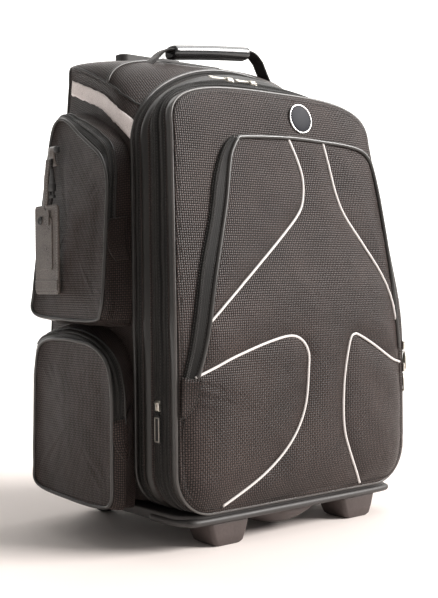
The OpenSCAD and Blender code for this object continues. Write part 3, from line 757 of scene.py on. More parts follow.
ring_base = [ring_row(d) for d in depths]
ring_n = grid_normals(ring_base)
waver = [wobble(r, 38, 1.0, 7.7) for r in ring_base]
ring_rows = []
for d, r, m, wv in zip(depths, ring_base, ring_n, waver):
    k = wv * (.5 + .8 * math.exp(-((d - 26) / 7) ** 2))
    sway = np.outer(wv * 1.3 * math.exp(-((d - 24) / 6) ** 2), [0, 1, 0])
    ring_rows.append(r + m * (ring_offset(np.array(d)) + k * .7)[..., None] + sway)
rv, rf = loft(ring_rows)
nf = N_U
band_mat = []
for i in range(len(depths) - 1):
    d = (depths[i] + depths[i + 1]) / 2
    idx = 1 if (13.6 < d < 24.6 or 26.8 < d < 41.4 or 63.4 < d < 74.8) else (2 if 47.6 < d < 61.2 else 0)
    band_mat += [idx] * nf
ring = make('section_ring', rv, rf, M['nylon'], 'front_section', 'nylon', arc_uv(ring_rows),
            mats=[M['tape'], M['binding']], face_mat=band_mat)
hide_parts('lid_gusset')
in_rows = [ring_rows[0]] + [ring_row(d, 3.5) for d in (13, 20, 30, 42, 54, 66, 75.8)] + [ring_rows[-1]]
rv2, rf2 = loft(in_rows)
make('section_lining', rv2, rf2, M['lining'], 'front_section', 'lining', arc_uv(in_rows))


def ring_path(d, lift):
    i = int(np.argmin(np.abs(depths - d)))
    return ring_rows[i] + ring_n[i] * lift, ring_n[i]


for nm, d, w in (('panel_zip_coil', 20.0, 3.0), ('rim_zip_coil', 68.0, 3.0)):
    p, n = ring_path(d, .15)
    coil(nm, p, n, 'front_section', closed=True, width=w)
for nm, d in (('section_zip_coil_a', 32.0), ('section_zip_coil_b', 36.0)):
    p, n = ring_path(d, .1)
    coil(nm, p, n, 'front_section', closed=True, width=2.4)
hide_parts('gusset_coil')
for d in (14.4, 23.6, 28.4, 40.0, 64.2, 73.8):
    p, n = ring_path(d, .05)
    stitches('ring_stitches_%d' % int(d), p, n, 'front_section', closed=True, step=3.6)

# ---- Front panel and its pocket ------------------------------------------------------------------

PANEL_LINE = outline(**PANEL)


def dist_to(pts, line, closed=False):
    """Shortest distance from each point to a polyline, both in x and z."""
    a = np.asarray(line, float)
    b = np.roll(a, -1, 0) if closed else a[1:]
    a = a if closed else a[:-1]
    ab = b - a
    ll = np.maximum((ab ** 2).sum(1), 1e-9)
    best = np.full(len(pts), 1e9)
    for i in range(len(a)):
        t = np.clip(((pts - a[i]) @ ab[i]) / ll[i], 0, 1)
        best = np.minimum(best, np.linalg.norm(pts - a[i] - t[:, None] * ab[i], axis=1))
    return best


def panel_height(xz):
    d = dist_to(xz, PANEL_LINE, True)
    return 7.0 * (1 - np.exp(-d / 26)) + 1.0


def on_front(xz, h):
    """Points standing out from the front plane by a height."""
    xz = np.asarray(xz, float)
    z = xz[:, 1]
    nz = .156 * np.clip((z - 210) / 80, 0, 1)
    k = 1 / np.sqrt(1 + nz ** 2)
    return np.stack([xz[:, 0], FRONT + lean(z) - h * k, z + h * nz * k * .9], 1)


# Panel: a coated edge strip, piping and a padded face.
p_rows = []
for d, ins in ((12.0, 0.0), (11.0, -.5), (9, -.7), (6, -.7), (4, -.5), (2.6, -.1), (1.4, .8)):
    p_rows.append(place(outline(inset=ins, **PANEL), d))
steps = [.995, .985, .97, .95, .925, .9, .87, .84, .8, .75, .7, .64, .57, .5, .42, .33, .24, .14, .04]
for s in steps:
    xz = (PANEL_LINE - [0, 282]) * s + [0, 282]
    h = panel_height(xz) + wobble(on_front(xz, 0 * xz[:, 0]), 60, .8, 1.7)
    p_rows.append(on_front(xz, h))
pv, pf = loft(p_rows)
uvp = pv[:, [0, 2]].copy()
fm = [1 if i < 5 * N_U else 0 for i in range(len(pf))]
pf.append(tuple(range(len(pv) - N_U, len(pv))))
fm.append(0)
panel = make('front_panel_face', pv, pf, M['nylon'], 'front_door', 'nylon', uvp, mats=[M['piping']],
             face_mat=fm)
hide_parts('front_panel')
back = [p_rows[0]] + [place(outline(inset=3.0, **PANEL), d) for d in (11.5, 8, 4.5)]
for s in (.95, .8, .55, .3, .05):
    xz = (outline(inset=3.0, **PANEL) - [0, 282]) * s + [0, 282]
    back.append(place(xz, 4.2))
bv, bf = loft(back)
bf.append(tuple(range(len(bv) - N_U, len(bv)))[::-1])
make('front_panel_lining', bv, bf, M['lining'], 'front_door', 'lining', bv[:, [0, 2]])
p2 = place(outline(inset=-.2, **PANEL), 1.4)
tube('panel_piping', p2, 1.75, M['silver_piping'], 'front_door', 'piping', closed=True)
st = on_front(outline(inset=6.0, **PANEL), panel_height(outline(inset=6.0, **PANEL)))
stitches('panel_stitches', st, np.array([0, -1.0, .1]) * np.ones_like(st), 'front_door', closed=True)

UL = spline([(4, 461), (14, 436), (19, 413), (15, 388), (4, 370), (-25, 344), (-68, 309), (-108, 277),
             (-141, 250)], 120)
UR = spline([(61, 461), (66, 433), (72, 399), (83, 372), (108, 340), (139, 301), (156, 270), (163, 244)],
            110)
LL = spline([(-163, 192), (-135, 202), (-108, 212), (-62, 225), (-27, 231), (-9, 226), (1, 213), (2, 195),
             (-4, 148),
             (-25, 110), (-64, 77), (-121, 47)], 150)
LR = spline([(171, 190), (151, 196), (115, 215), (92, 226), (80, 229), (71, 219), (61, 172), (61, 122),
             (73, 87), (97, 45)], 130)
SEAMS = (UL, UR, LL, LR)
pk_keys = [(-82, 447), (-77, 454), (-67, 458), (4, 462), (62, 461), (103, 459), (128, 454), (140, 444),
           (145, 430), (150, 400), (155, 356),
           (158.5, 318), (164, 252), (170, 200), (174, 150), (175, 100), (170, 68), (154, 49.5), (128, 45),
           (0, 44.5), (-128, 45),
           (-154, 49.5), (-170, 68), (-175, 100), (-174.5, 140), (-168, 170), (-161, 193), (-150, 222),
           (-142, 253), (-133, 289),
           (-115, 345), (-103, 383), (-92, 430)]
PK = spline(pk_keys, 420, True)[::-1]
PK_C = np.array([0, 240.0])


def edge_height(xz):
    x, z = xz[:, 0], xz[:, 1]
    left = np.where(x < 0, np.interp(z, [44, 120, 165, 195, 300, 460], [2.5, 3, 5, 10, 12.5, 12.5]), 0)
    right = np.where(x >= 0, np.interp(z, [44, 150, 220, 300, 400, 460], [2.5, 3, 4.5, 8, 11.5, 12.5]), 0)
    top = np.interp(z, [440, 458], [0, 1])
    return (left + right) * (1 - top) + 12.5 * top


PK_H = edge_height(PK)


def pocket_height(xz):
    """How far the pocket's quilted face stands out at any point."""
    xz = np.asarray(xz, float)
    d_edge = dist_to(xz, PK, True)
    near = np.argmin(((xz[:, None] - PK[None, ::4]) ** 2).sum(2), 1)
    he = PK_H[::4][near]
    mid = 13.5
    blend = 1 - np.exp(-(d_edge / 34))
    h = he * (1 - blend) + mid * blend
    d = np.minimum(d_edge, np.min([dist_to(xz, s) for s in SEAMS], 0))
    h = h + 4.6 * (1 - np.exp(-d / 13)) - .9
    return h


psteps = np.concatenate([[1, .996, .99, .982, .973], np.linspace(.962, .03, 62), [.018, .008, .002]])
rows = []
for i, s in enumerate(psteps):
    xz = PK_C + (PK - PK_C) * s
    h = pocket_height(xz)
    if i == 0:
        h = PK_H - .6
    at_plane = on_front(xz, 0 * h)
    h = h + (wobble(at_plane, 34, 1.0, 5.2) + wobble(at_plane, 13, .25, 9.2)) * min(1, i / 4)
    rows.append(on_front(xz, h))
kv, kf = loft(rows)
nk = len(PK)
kf.append(tuple(range(len(kv) - nk, len(kv)))[::-1])
pocket = make('front_pocket_face', kv, kf, M['nylon'], 'front_door', 'nylon', kv[:, [0, 2]])
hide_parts('front_pocket')

# Side wall under the pocket's edge, with the piping that finishes it.
wall_rows = []
for k in (0, .35, .7, 1.0):
    xz = PK + (PK - PK_C) / np.linalg.norm(PK - PK_C, axis=1, keepdims=True) * (1.6 * (1 - k))
    lo = np.minimum(panel_height(PK) - 1.5, PK_H - .3)
    wall_rows.append(on_front(xz, lo + (PK_H - .2 - lo) * k))
wv, wf = loft(wall_rows)
make('front_pocket_wall', wv, wf, M['nylon'], 'front_door', 'nylon', arc_uv(wall_rows))


for nm, line in zip(('upper_left', 'upper_right', 'lower_left', 'lower_right'), SEAMS):
    h = pocket_height(line)
    path = on_front(line, np.maximum(h, PK_H.min()) + .9)
    tube('white_piping_' + nm, path, 1.5, M['white'], 'front_door', 'piping', up=np.array([0, -1.0, .1]))
# Coated piping on the pocket's top and right edges, and along its zipper.
top_right = [i for i in range(len(PK)) if (PK[i][1] > 443) or (PK[i][0] > 100 and PK[i][1] > 205)]
order = PK[top_right]
start = int(np.argmax(np.linalg.norm(np.diff(np.vstack([order[-1:], order]), axis=0), axis=1)))
order = np.roll(order, -start, 0)
tube('pocket_edge_piping', on_front(order, edge_height(order) + .8), 2.4, M['piping'], 'front_door',
     'piping', up=np.array([0, -1.0, .1]))
ZI = spline([(-76, 455), (-83, 446), (-91, 430), (-103, 383), (-115, 345), (-133, 289), (-142, 253),
             (-150, 222), (-160, 192)], 120)
ZO = spline([(-80, 459), (-90, 452), (-101, 438), (-115, 408), (-127, 364), (-146, 311), (-160, 254),
             (-167, 222), (-175.5, 188)], 120)
tube('pocket_zip_piping', on_front(ZI, edge_height(ZI) + 1.2), 2.5, M['piping'], 'front_door', 'piping',
     up=np.array([0, -1.0, .1]))
zr = []
ph = panel_height(ZO)
for k, q in ((0, -1.2), (.06, 1.6), (.16, 3.0), (.3, 3.6), (.45, 3.9), (.62, 4.6), (.8, 5.2), (1.0, 5.4)):
    xz = ZO * (1 - k) + ZI * k
    base = ph * (1 - k) + (edge_height(ZI) - 4.5) * k
    zr.append(on_front(xz, base + q))
zv, zf = loft(zr, wrap=False)
make('pocket_zip_tape', zv, zf, M['tape'], 'front_door', 'nylon', arc_uv(zr))
zn = np.array([-.35, -1.0, .1]) * np.ones_like(zr[3])
coil('pocket_zip_coil', zr[2] * .6 + zr[3] * .4, zn, 'front_door', width=3.4, height=1.4, pitch=1.7)
stitches('pocket_zip_stitches', zr[6], zn, 'front_door')
stitches('pocket_zip_stitches_outer', zr[1], np.array([-.8, -.6, 0]) * np.ones_like(zr[1]), 'front_door')
# Fabric garage over the zipper's lower end.
gk = []
for k in np.linspace(0, 1, 9):
    a = np.array([-177.5 - 1.5 * k, 193 - 44 * k])
    b = np.array([-157.0 - 5.0 * k ** 2, 189 - 26 * k])
    w = np.linspace(0, 1, 8)[:, None]
    xz = a * (1 - w) + b * w
    xz[:, 1] -= 3.0 * np.sin(w[:, 0] * math.pi) * k
    base = (np.interp(w[:, 0], [0, .5, 1], [4.0, 8.0, 12.2]) * (1 - k)
            + np.interp(w[:, 0], [0, 1], [3.2, 6.5]) * k)
    gk.append(on_front(xz, base + 2.2))
gv, gf = loft(gk, wrap=False)
garage = make('pocket_zip_garage', gv, gf, M['nylon'], 'front_door', 'nylon', gv[:, [0, 2]])
thicken(garage, 1.2)
border = np.vstack([gk[0], np.array([r[-1] for r in gk[1:]]), gk[-1][::-1][1:]])
stitches('garage_stitches', border, np.array([0, -1.0, 0]) * np.ones_like(border), 'front_door', lift=.3)

# Badge: a plain domed disc in a bright ring.
bz = 489.0
tilt = math.atan(.156)
bn = np.array([0, -math.cos(tilt), math.sin(tilt)])
bu = np.array([0, math.sin(tilt), math.cos(tilt)])
bc = on_front(np.array([[33.5, bz]]), panel_height(np.array([[33.5, bz]])) + .4)[0]
vs, fs = [], []
for r_, h_ in ((16.6, .4), (16.6, 1.3), (15, 1.75), (12, 2.15), (8, 2.45), (4, 2.6), (.2, 2.65)):
    for a in np.linspace(0, 2 * math.pi, 48, endpoint=False):
        vs.append(bc + np.array([1, 0, 0]) * r_ * math.cos(a) + bu * r_ * math.sin(a) + bn * h_)
for i in range(6):
    for j in range(48):
        fs.append((i * 48 + j, i * 48 + (j + 1) % 48, (i + 1) * 48 + (j + 1) % 48, (i + 1) * 48 + j))
badge = make('badge_disc', vs, fs, M['badge'], 'front_door', 'badge')
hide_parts('name_badge')
a = np.linspace(0, 2 * math.pi, 64, endpoint=False)
ringp = bc + 17.2 * (np.cos(a)[:, None] * np.array([1, 0, 0]) + np.sin(a)[:, None] * bu) + bn * 1.0
tube('badge_ring', ringp, 1.15, M['silver'], 'front_door', 'badge', closed=True)

# ---- Small hardware ------------------------------------------------------------------------------

def plate(name, loops, thick, bevel, origin, t, n, b, mat, body, slot):
    """Thin bevelled plate: 2-D loops given along t and b, the first one outside, standing along n."""
    cu = bpy.data.curves.new(name, 'CURVE')
    cu.dimensions = '2D'
    cu.fill_mode = 'BOTH'
    cu.extrude = max(thick / 2 - bevel, .01) * .001
    cu.bevel_depth = bevel * .001
    cu.bevel_resolution = 2
    cu.offset = -bevel * .001
    for lp in loops:
        sp = cu.splines.new('POLY')
        sp.points.add(len(lp) - 1)
        for q, p in zip(sp.points, lp):
            q.co = (p[0] * .001, p[1] * .001, 0, 1)
        sp.use_cyclic_u = True
    tmp = bpy.data.objects.new(name + '_c', cu)
    bpy.context.scene.collection.objects.link(tmp)
    me = bpy.data.meshes.new_from_object(tmp.evaluated_get(bpy.context.evaluated_depsgraph_get()))
    bpy.data.objects.remove(tmp)
    v = np.array([x.co[:] for x in me.vertices]) * 1000
    f = [tuple(p.vertices) for p in me.polygons]
    t, n, b, o = (np.asarray(q, float) for q in (t, n, b, origin))
    w = o + v[:, 0:1] * t + v[:, 1:2] * b + v[:, 2:3] * n
    return make(name, w, f, mat, body, slot, v[:, :2], smooth=False)


def rr(w, h, r, cx=0.0, cy=0.0, n=6):
    """Rounded rectangle loop."""
    pts = []
    for sx, sy, a0 in ((1, 1, 0), (-1, 1, 90), (-1, -1, 180), (1, -1, 270)):
        for a in np.radians(np.linspace(a0, a0 + 90, n)):
            pts.append((cx + sx * (w / 2 - r) + r * math.cos(a), cy + sy * (h / 2 - r) + r * math.sin(a)))
    return pts


def merge(parts):
    vs, fs = [], []
    for v, f in parts:
        k = sum(len(x) for x in vs)
        vs.append(np.asarray(v, float))
        fs += [tuple(i + k for i in q) for q in f]
    return np.vstack(vs), fs


def slider(name, node, origin, t, n, body, length, width, height, mat='zinc'):
    """Zipper slider: two plates, a neck and the bridge that holds its pull; t runs along the coil."""
    t, n = np.asarray(t, float), np.asarray(n, float)
    b = np.cross(t, n)
    L, W, H = length / 2, width / 2, height
    parts = [box_mesh((-L, 0, -W), (L, 1.1, W), .7),
             box_mesh((-L * .92, H - 2.1, -W * .96), (L * .8, H - 1.1, W * .96), .6),
             box_mesh((-L * .9, .4, -W), (L * .5, H - 1.4, -W + 1.0), .4),
             box_mesh((-L * .9, .4, W - 1.0), (L * .5, H - 1.4, W), .4),
             box_mesh((L * .1, .4, -1.4), (L * .75, H - 1.4, 1.4), .5),
             box_mesh((-L * .8, H - 1.3, -1.3), (-L * .5, H, 1.3), .4),
             box_mesh((L * .35, H - 1.3, -1.3), (L * .65, H, 1.3), .4),
             box_mesh((-L * .8, H - .75, -1.3), (L * .65, H, 1.3), .35)]
    v, f = merge(parts)
    w = np.asarray(origin, float) + v[:, 0:1] * t + v[:, 1:2] * n + v[:, 2:3] * b
    o = make(name, w, f, M[mat], body, 'zinc', v[:, [0, 2]])
    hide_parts(node)
    return o


def pull(name, node, origin, t, n, body, length, width, thick, mat='zinc', slot_='zinc', fancy=False):
    """Pull tab hanging from its origin along t: a shaped plate with an eye and a raised rim."""
    t, n = np.asarray(t, float), np.asarray(n, float)
    b = np.cross(t, n)
    o = np.asarray(origin, float)
    w = width / 2
    if fancy:
        lp = [(0.2, -2.2), (2.4, -2.4), (4.6, -w), (length - 1.6, -w), (length - .4, -w + .4),
              (length, -w + 1.6), (length, w - 1.6),
              (length - .4, w - .4), (length - 1.6, w), (4.6, w), (2.4, 2.4), (.2, 2.2)]
        main = plate(name, [lp, rr(1.2, 2.6, .5, 1.6, 0)], thick * .62, .25, o + n * thick * .31, t, n, b,
                     M[mat], body, slot_)
        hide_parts(node)
        ring_ = rr(length - 6.5, width - 1.4, 1.2, 4.6 + (length - 6.5) / 2 + .4, 0, 5)
        hole = rr(length - 9.5, width - 4.2, .8, 4.6 + (length - 6.5) / 2 + .4, 0, 5)
        plate(name + '_rim', [ring_, hole], thick * .4, .18, o + n * thick * .8, t, n, b, M['zinc'], body,
              slot_)
        return main
    lp = [(0.1, -w * .62), (1.2, -w * .8), (3.6, -w * .55), (6.5, -w * .72), (length - 2.5, -w),
          (length - .8, -w * .82), (length, -w * .35),
          (length, w * .35), (length - .8, w * .82), (length - 2.5, w), (6.5, w * .72), (3.6, w * .55),
          (1.2, w * .8), (.1, w * .62)]
    main = plate(name, [lp, rr(1.4, width * .36, .4, 1.6, 0), rr(4.6, width * .42, .8, length - 5.2, 0)],
                 thick, .3,
                 o + n * thick / 2, t, n, b, M[mat], body, slot_)
    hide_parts(node)
    return main


def centre(node):
    lo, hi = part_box(node)
    return (np.array(lo) + np.array(hi)) * 500


def extent(node):
    lo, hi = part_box(node)
    return np.array(lo) * 1000, np.array(hi) * 1000


X, Y, Z = np.eye(3)
lo, hi = extent('gusset_slider')
slider('section_slider', 'gusset_slider', ((hi[0]), (lo[1] + hi[1]) / 2, (lo[2] + hi[2]) / 2), Z, -X,
       'gusset_slider', 12, 8.5, 4)
lo, hi = extent('gusset_pull')
pull('section_pull', 'gusset_pull', (hi[0], (lo[1] + hi[1]) / 2, hi[2]), -Z, -X, 'gusset_pull',
     hi[2] - lo[2], 10, 1.8, 'pull', 'pull', True)
tn = np.array([0, -.5, .8660254])
for tag in ('left', 'right'):
    c = centre('panel_slider_' + tag)
    slider('panel_slider_' + tag + '_shape', 'panel_slider_' + tag, c - tn * 2.0, X, tn,
           'panel_slider_' + tag, 11, 8, 4)
    lo, hi = extent('panel_pull_' + tag)
    c = centre('panel_pull_' + tag)
    pull('panel_pull_' + tag + '_shape', 'panel_pull_' + tag, np.array([hi[0], c[1], c[2]]) - tn * .8, -X,
         tn, 'panel_pull_' + tag, hi[0] - lo[0], 6, 1.6)
for tag in ('upper', 'lower'):
    lo, hi = extent('pocket_slider_' + tag)
    slider('pocket_slider_' + tag + '_shape', 'pocket_slider_' + tag,
           (lo[0], (lo[1] + hi[1]) / 2, (lo[2] + hi[2]) / 2), Z, X, 'pocket_slider_' + tag, 11, 8, 4)
    lo, hi = extent('pocket_pull_' + tag)
    pull('pocket_pull_' + tag + '_shape', 'pocket_pull_' + tag, (lo[0], (lo[1] + hi[1]) / 2, hi[2]), -Z, X,
         'pocket_pull_' + tag, hi[2] - lo[2], 6, 1.6)

# Zipper down the right edge of the panel, for the front pocket.
z = np.linspace(96, 256, 60)
path = np.stack([half(z) + .9, FRONT + 3.0 + lean(z), z], 1)
coil('pocket_side_coil', path, X * np.ones_like(path), 'front_door', width=2.6)
tr = [np.stack([half(z) + .75, FRONT + d + lean(z), z], 1) for d in (-.6, 1.5, 4.5, 7.0)]
thicken(make('pocket_side_tape', *loft(tr, wrap=False), M['tape'], 'front_door', 'nylon', arc_uv(tr)), .6)

# ---- Side pockets --------------------------------------------------------------------------------

UPPER = dict(
    d=(0, 23, 36.5), crown=3.0, seed=2.0,
    base=[(86, 252), (84, 290), (100, 362), (104, 405), (110, 434), (122, 455), (148, 474), (182, 490),
          (215, 503), (238, 501), (252, 480), (255, 380), (257, 290), (252, 249), (170, 244), (98, 245)],
    mid=[(90, 256), (88, 290), (101, 365), (103, 403), (108, 431), (119, 452), (145, 470), (178, 485),
         (213, 499), (236, 497), (247, 475), (250, 380), (252, 290), (247, 253), (170, 248), (103, 248)],
    face=[(94, 261), (91, 290), (96, 365), (99, 400), (105, 421), (118, 439), (140, 453), (166, 468),
          (201, 489), (222, 490), (233, 468), (240, 380), (245, 290), (240, 258), (170, 252), (105, 252)],
    zip=(1.6, 10.2), garage=(.9, 1.75))
LOWER = dict(
    d=(0, 25, 40.0), crown=3.2, seed=5.0,
    base=[(82, 44), (80, 90), (80, 150), (81, 186), (88, 210), (104, 228), (134, 242), (171, 247),
          (217, 243), (247, 230), (256, 190), (258, 130), (258, 80), (252, 46), (156, 41), (98, 41)],
    mid=[(65, 48), (61, 90), (62, 152), (65, 182), (74, 203), (93, 220), (128, 235), (171, 241), (217, 235),
         (243, 222), (251, 190), (253, 130), (253, 80), (246, 49), (156, 43), (88, 43)],
    face=[(69, 54), (66, 90), (65, 150), (67, 186), (77, 209), (102, 223), (136, 228), (174, 229),
          (205, 226), (222, 216), (230, 190), (234, 130), (236, 80), (229, 52), (156, 45), (92, 45)],
    zip=(1.7, 10.4), garage=(1.0, 1.85))
NP = 224


def pocket_points(yz, d, side):
    yz = np.asarray(yz, float)
    return np.stack([side * (half(yz[:, 1]) + d), yz[:, 0] + FRONT, yz[:, 1]], 1)


def fit_side(yz, side):
    """The right pockets keep clear of the opening front section."""
    yz = np.array(yz, float)
    if side > 0:
        y = yz[:, 0]
        yz[:, 0] = np.where(y < 150, 88 + (y - 60) * (62 / 90.0), y)
    return yz


def inflate(face_line, spec):
    """Padded face of a pocket, shaped by a short cloth simulation over its own edge."""
    c = face_line.mean(0)
    steps_ = [1.0, .985, .965, .94] + list(np.linspace(.9, .05, 24)) + [.025, .008]
    rows_ = [c + (face_line - c) * s for s in steps_]
    hs = [spec['crown'] * (1 - s ** 3) for s in steps_]
    flat = np.vstack([np.column_stack([r, np.full(len(r), h)]) for r, h in zip(rows_, hs)])
    _, f = loft(rows_)
    n = len(face_line)
    f.append(tuple(range(len(flat) - n, len(flat)))[::-1])
    me = bpy.data.meshes.new('cloth_tmp')
    me.from_pydata((flat[:, [0, 1, 2]] * .001).tolist(), [], f)
    ob = bpy.data.objects.new('cloth_tmp', me)
    bpy.context.scene.collection.objects.link(ob)
    g = ob.vertex_groups.new(name='pin')
    g.add(list(range(3 * n)), 1.0, 'REPLACE')
    cm = ob.modifiers.new('cloth', 'CLOTH')
    st_ = cm.settings
    st_.quality = 5
    st_.mass = .25
    st_.vertex_group_mass = 'pin'
    st_.use_pressure = True
    st_.uniform_pressure_force = 4.0
    st_.tension_stiffness = 12
    st_.compression_stiffness = 12
    st_.bending_stiffness = 2.0
    st_.effector_weights.gravity = 0
    cm.collision_settings.use_collision = False
    cm.point_cache.frame_start, cm.point_cache.frame_end = 1, 20
    sc = bpy.context.scene
    for fr in range(1, 21):
        sc.frame_set(fr)
    ev = ob.evaluated_get(bpy.context.evaluated_depsgraph_get())
    out = np.array([v.co[:] for v in ev.data.vertices]) * 1000
    sc.frame_set(1)
    bpy.data.objects.remove(ob)
    move = out - flat
    lim = np.linalg.norm(move, axis=1, keepdims=True)
    move *= np.minimum(1, 3.0 / np.maximum(lim, 1e-6))
    out = flat + move
    return out, f, n


def build_pocket(tag, spec, side, replaced):
    lines = [spline(fit_side(spec[k], side), NP, True) for k in ('base', 'mid', 'face')]
    # The three outlines start at matching points.
    for i in (1, 2):
        sh = np.argmin(np.linalg.norm(lines[i] - lines[0][0], axis=1))
        lines[i] = np.roll(lines[i], -sh, 0)
    L0, L1, L2 = lines
    d0, d1, d2 = spec['d']

    def at(t):
        """Point row on the wall between the body, t 0, the middle line, t 1, and the face's edge, t 2."""
        if t <= 1:
            s = t
            yz = L0 * (1 - s ** 1.6) + L1 * s ** 1.6
            d = d0 * (1 - s) + d1 * s
        else:
            s = t - 1
            yz = L1 * (1 - s ** 2) + L2 * s ** 2
            d = d1 + (d2 - d1) * (1 - (1 - s) ** 1.25)
        return pocket_points(yz, d, side)
    ts = [0, .12, .25, .4, .55, .7, .82, .92, 1.0, 1.06, 1.12, 1.2, 1.32, 1.46, 1.6, 1.74, 1.86, 1.93, 2.0]
    base_rows = [at(t) for t in ts]
    nrm = grid_normals(base_rows)
    if np.sum(nrm[5] * (base_rows[5] - base_rows[5].mean(0))) < 0:
        nrm = -nrm
    # The zipper runs from low on the front edge, over the top, to the rear edge.
    top_z = L0[:, 1].max()
    z_end = 362 if tag == 'upper' else 152
    z_back = top_z - 34
    has_zip = np.array([(p[0] < 175 and p[1] > z_end) or (p[0] >= 175 and p[1] > z_back) for p in L0])
    soft_zip = np.convolve(np.tile(has_zip.astype(float), 3), np.ones(5) / 5, 'same')[NP:2 * NP]
    rows_ = []
    for t, r, m in zip(ts, base_rows, nrm):
        w = wobble(r, 26, 1.5, spec['seed'] + side) * min(1, t * 2, (2.05 - t) * 2)
        z_l = 0.0
        if 1.05 < t < 1.95:
            z_l = -1.0 * math.exp(-((t - 1.5) / .34) ** 4)
        rows_.append(r + m * (w + z_l * soft_zip)[:, None])
    v, f = loft(rows_)
    fmat = []
    for i in range(len(ts) - 1):
        tm = (ts[i] + ts[i + 1]) / 2
        for j in range(NP):
            fmat.append(1 if (1.1 < tm < 1.9 and has_zip[j]) else 0)
    uvw = arc_uv(rows_)
    make('%s_pocket_wall_%s' % (tag, 'left' if side < 0 else 'right'), v, f,
                 M['nylon'], 'bag_body', 'nylon', uvw, mats=[M['tape']], face_mat=fmat)
    if side < 0:
        flat, ff, n = inflate(L2, spec)
        spec['cloth'] = (flat.copy(), L2.copy())
    flat, ref = spec['cloth']
    _, ff = loft([np.zeros((NP, 2))] * (len(flat) // NP))
    ff.append(tuple(range(len(flat) - NP, len(flat)))[::-1])
    yz = flat[:, :2].copy()
    if side > 0:
        yz = fit_side(yz, 1)
        yz[:NP] = L2
    fw = np.stack([side * (half(yz[:, 1]) + d2 + flat[:, 2]), yz[:, 0] + FRONT, yz[:, 1]], 1)
    wob = wobble(fw, 30, 1.1, spec['seed'] + 3) + wobble(fw, 11, .22, 1.0)
    wob[:2 * NP] = 0
    fw[:, 0] += side * wob
    face_ = make('%s_pocket_face_%s' % (tag, 'left' if side < 0 else 'right'), fw, ff,
                 M['nylon'], 'bag_body', 'nylon', fw[:, [1, 2]])
    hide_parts(replaced)
    nm = '%s_%s' % (tag, 'left' if side < 0 else 'right')
    tube('pocket_piping_' + nm, rows_[-1] + np.array([side * .6, 0, 0]), 2.0, M['piping'], 'bag_body',
         'piping', closed=True)
    # zipper and its stitching, on the front and top of the wall
    idx = [j for j in range(NP) if has_zip[j]]
    cut_at = next((k for k in range(1, len(idx)) if idx[k] - idx[k - 1] > 1), None)
    if cut_at:
        idx = idx[cut_at:] + idx[:cut_at]
    k15 = ts.index(1.46)
    coil('pocket_coil_%s_a' % nm, resample(rows_[k15][idx], 90), resample(nrm[k15][idx], 90), 'bag_body',
         width=3.0, height=1.2)
    for t_ in (1.12, 1.86):
        k_ = ts.index(t_)
        stitches('pocket_stitches_%s_%d' % (nm, int(t_ * 100)), rows_[k_][idx], nrm[k_][idx], 'bag_body')
    p_ = rows_[ts.index(1.0)][idx]
    tube('pocket_binding_' + nm, p_ + nrm[ts.index(1.0)][idx] * .2, 1.3, M['binding'], 'bag_body', 'nylon')
    # garage tab over the lower end of the zipper
    end_j = min(idx, key=lambda j: rows_[k15][j][2] + (1000 if L0[j, 0] > 150 else 0))
    step_ = -1 if not has_zip[(end_j - 1) % NP] else 1
    js = [(end_j - step_ * 2 + step_ * k) % NP for k in range(0, 16)]
    gr = []
    for k, j in enumerate(js):
        s = k / (len(js) - 1)
        t_hi = 1.96 - .95 * max(0, (s - .35) / .65) ** 2.2
        tt = np.linspace(.32, t_hi, 9)
        col_ = []
        for q in tt:
            i_ = int(np.clip(np.searchsorted(ts, q) - 1, 0, len(ts) - 2))
            a_ = (q - ts[i_]) / (ts[i_ + 1] - ts[i_])
            pp = rows_[i_][j] * (1 - a_) + rows_[i_ + 1][j] * a_
            mm = nrm[i_][j] * (1 - a_) + nrm[i_ + 1][j] * a_
            col_.append(pp + mm * 1.5)
        gr.append(np.array(col_))
    gv_, gf_ = loft(gr, wrap=False)
    tab = make('pocket_garage_' + nm, gv_, gf_, M['nylon'], 'bag_body', 'nylon', arc_uv(gr))
    thicken(tab, 1.1, 0)
    edge_ = np.vstack([gr[0], np.array([q[-1] for q in gr[1:]])])
    en = np.array([side * .5, -.8, 0]) * np.ones_like(edge_)
    stitches('garage_stitches_' + nm, edge_, en, 'bag_body', lift=.5)


for side, tag in ((-1, 'left'), (1, 'right')):
    build_pocket('upper', UPPER, side, 'upper_pocket_' + tag)
    build_pocket('lower', LOWER, side, 'lower_pocket_' + tag)

# ---- Luggage tag ---------------------------------------------------------------------------------

tl, th = extent('luggage_tag')
tc = (tl + th) / 2
tag_o = np.array([th[0], tc[1], th[2]])
main = plate('luggage_tag_body', [rr(106, 53.5, 5, 53, 0)], 3.0, .7, tag_o + np.array([-1.5, 0, 0]), -Z, -X,
             Y, M['leather'], 'luggage_tag', 'leather')
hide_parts('luggage_tag')
plate('luggage_tag_flap', [rr(62, 36, 3.5, 46, 3.5)], 1.3, .45, tag_o + np.array([-3.5, 0, 0]), -Z, -X, Y,
      M['leather'], 'luggage_tag', 'leather')
plate('luggage_tag_band', [rr(13, 51.5, 1.6, 95, 0)], 1.4, .5, tag_o + np.array([-3.4, 0, 0]), -Z, -X, Y,
      M['leather'], 'luggage_tag', 'leather')
plate('luggage_tag_keeper', [rr(18, 8, 2, 15, -6)], 2.0, .6, tag_o + np.array([-4.6, 0, 0]), -Z, -X, Y,
      M['leather'], 'luggage_tag', 'leather')
loopy = np.array([(tag_o + np.array([-3.15, y_, -z_])) for z_, y_ in rr(101, 48.5, 4, 53, 0, 8)])
stitches('luggage_tag_stitches', loopy, -X * np.ones_like(loopy), 'luggage_tag', M['pale_thread'], 3.2, 2.0,
         .38, True)
loopy = np.array([(tag_o + np.array([-4.25, y_, -z_])) for z_, y_ in rr(9, 47.5, 1, 95, 0, 4)])
stitches('luggage_tag_band_stitches', loopy, -X * np.ones_like(loopy), 'luggage_tag', M['pale_thread'], 3.0,
         1.9, .36, True)
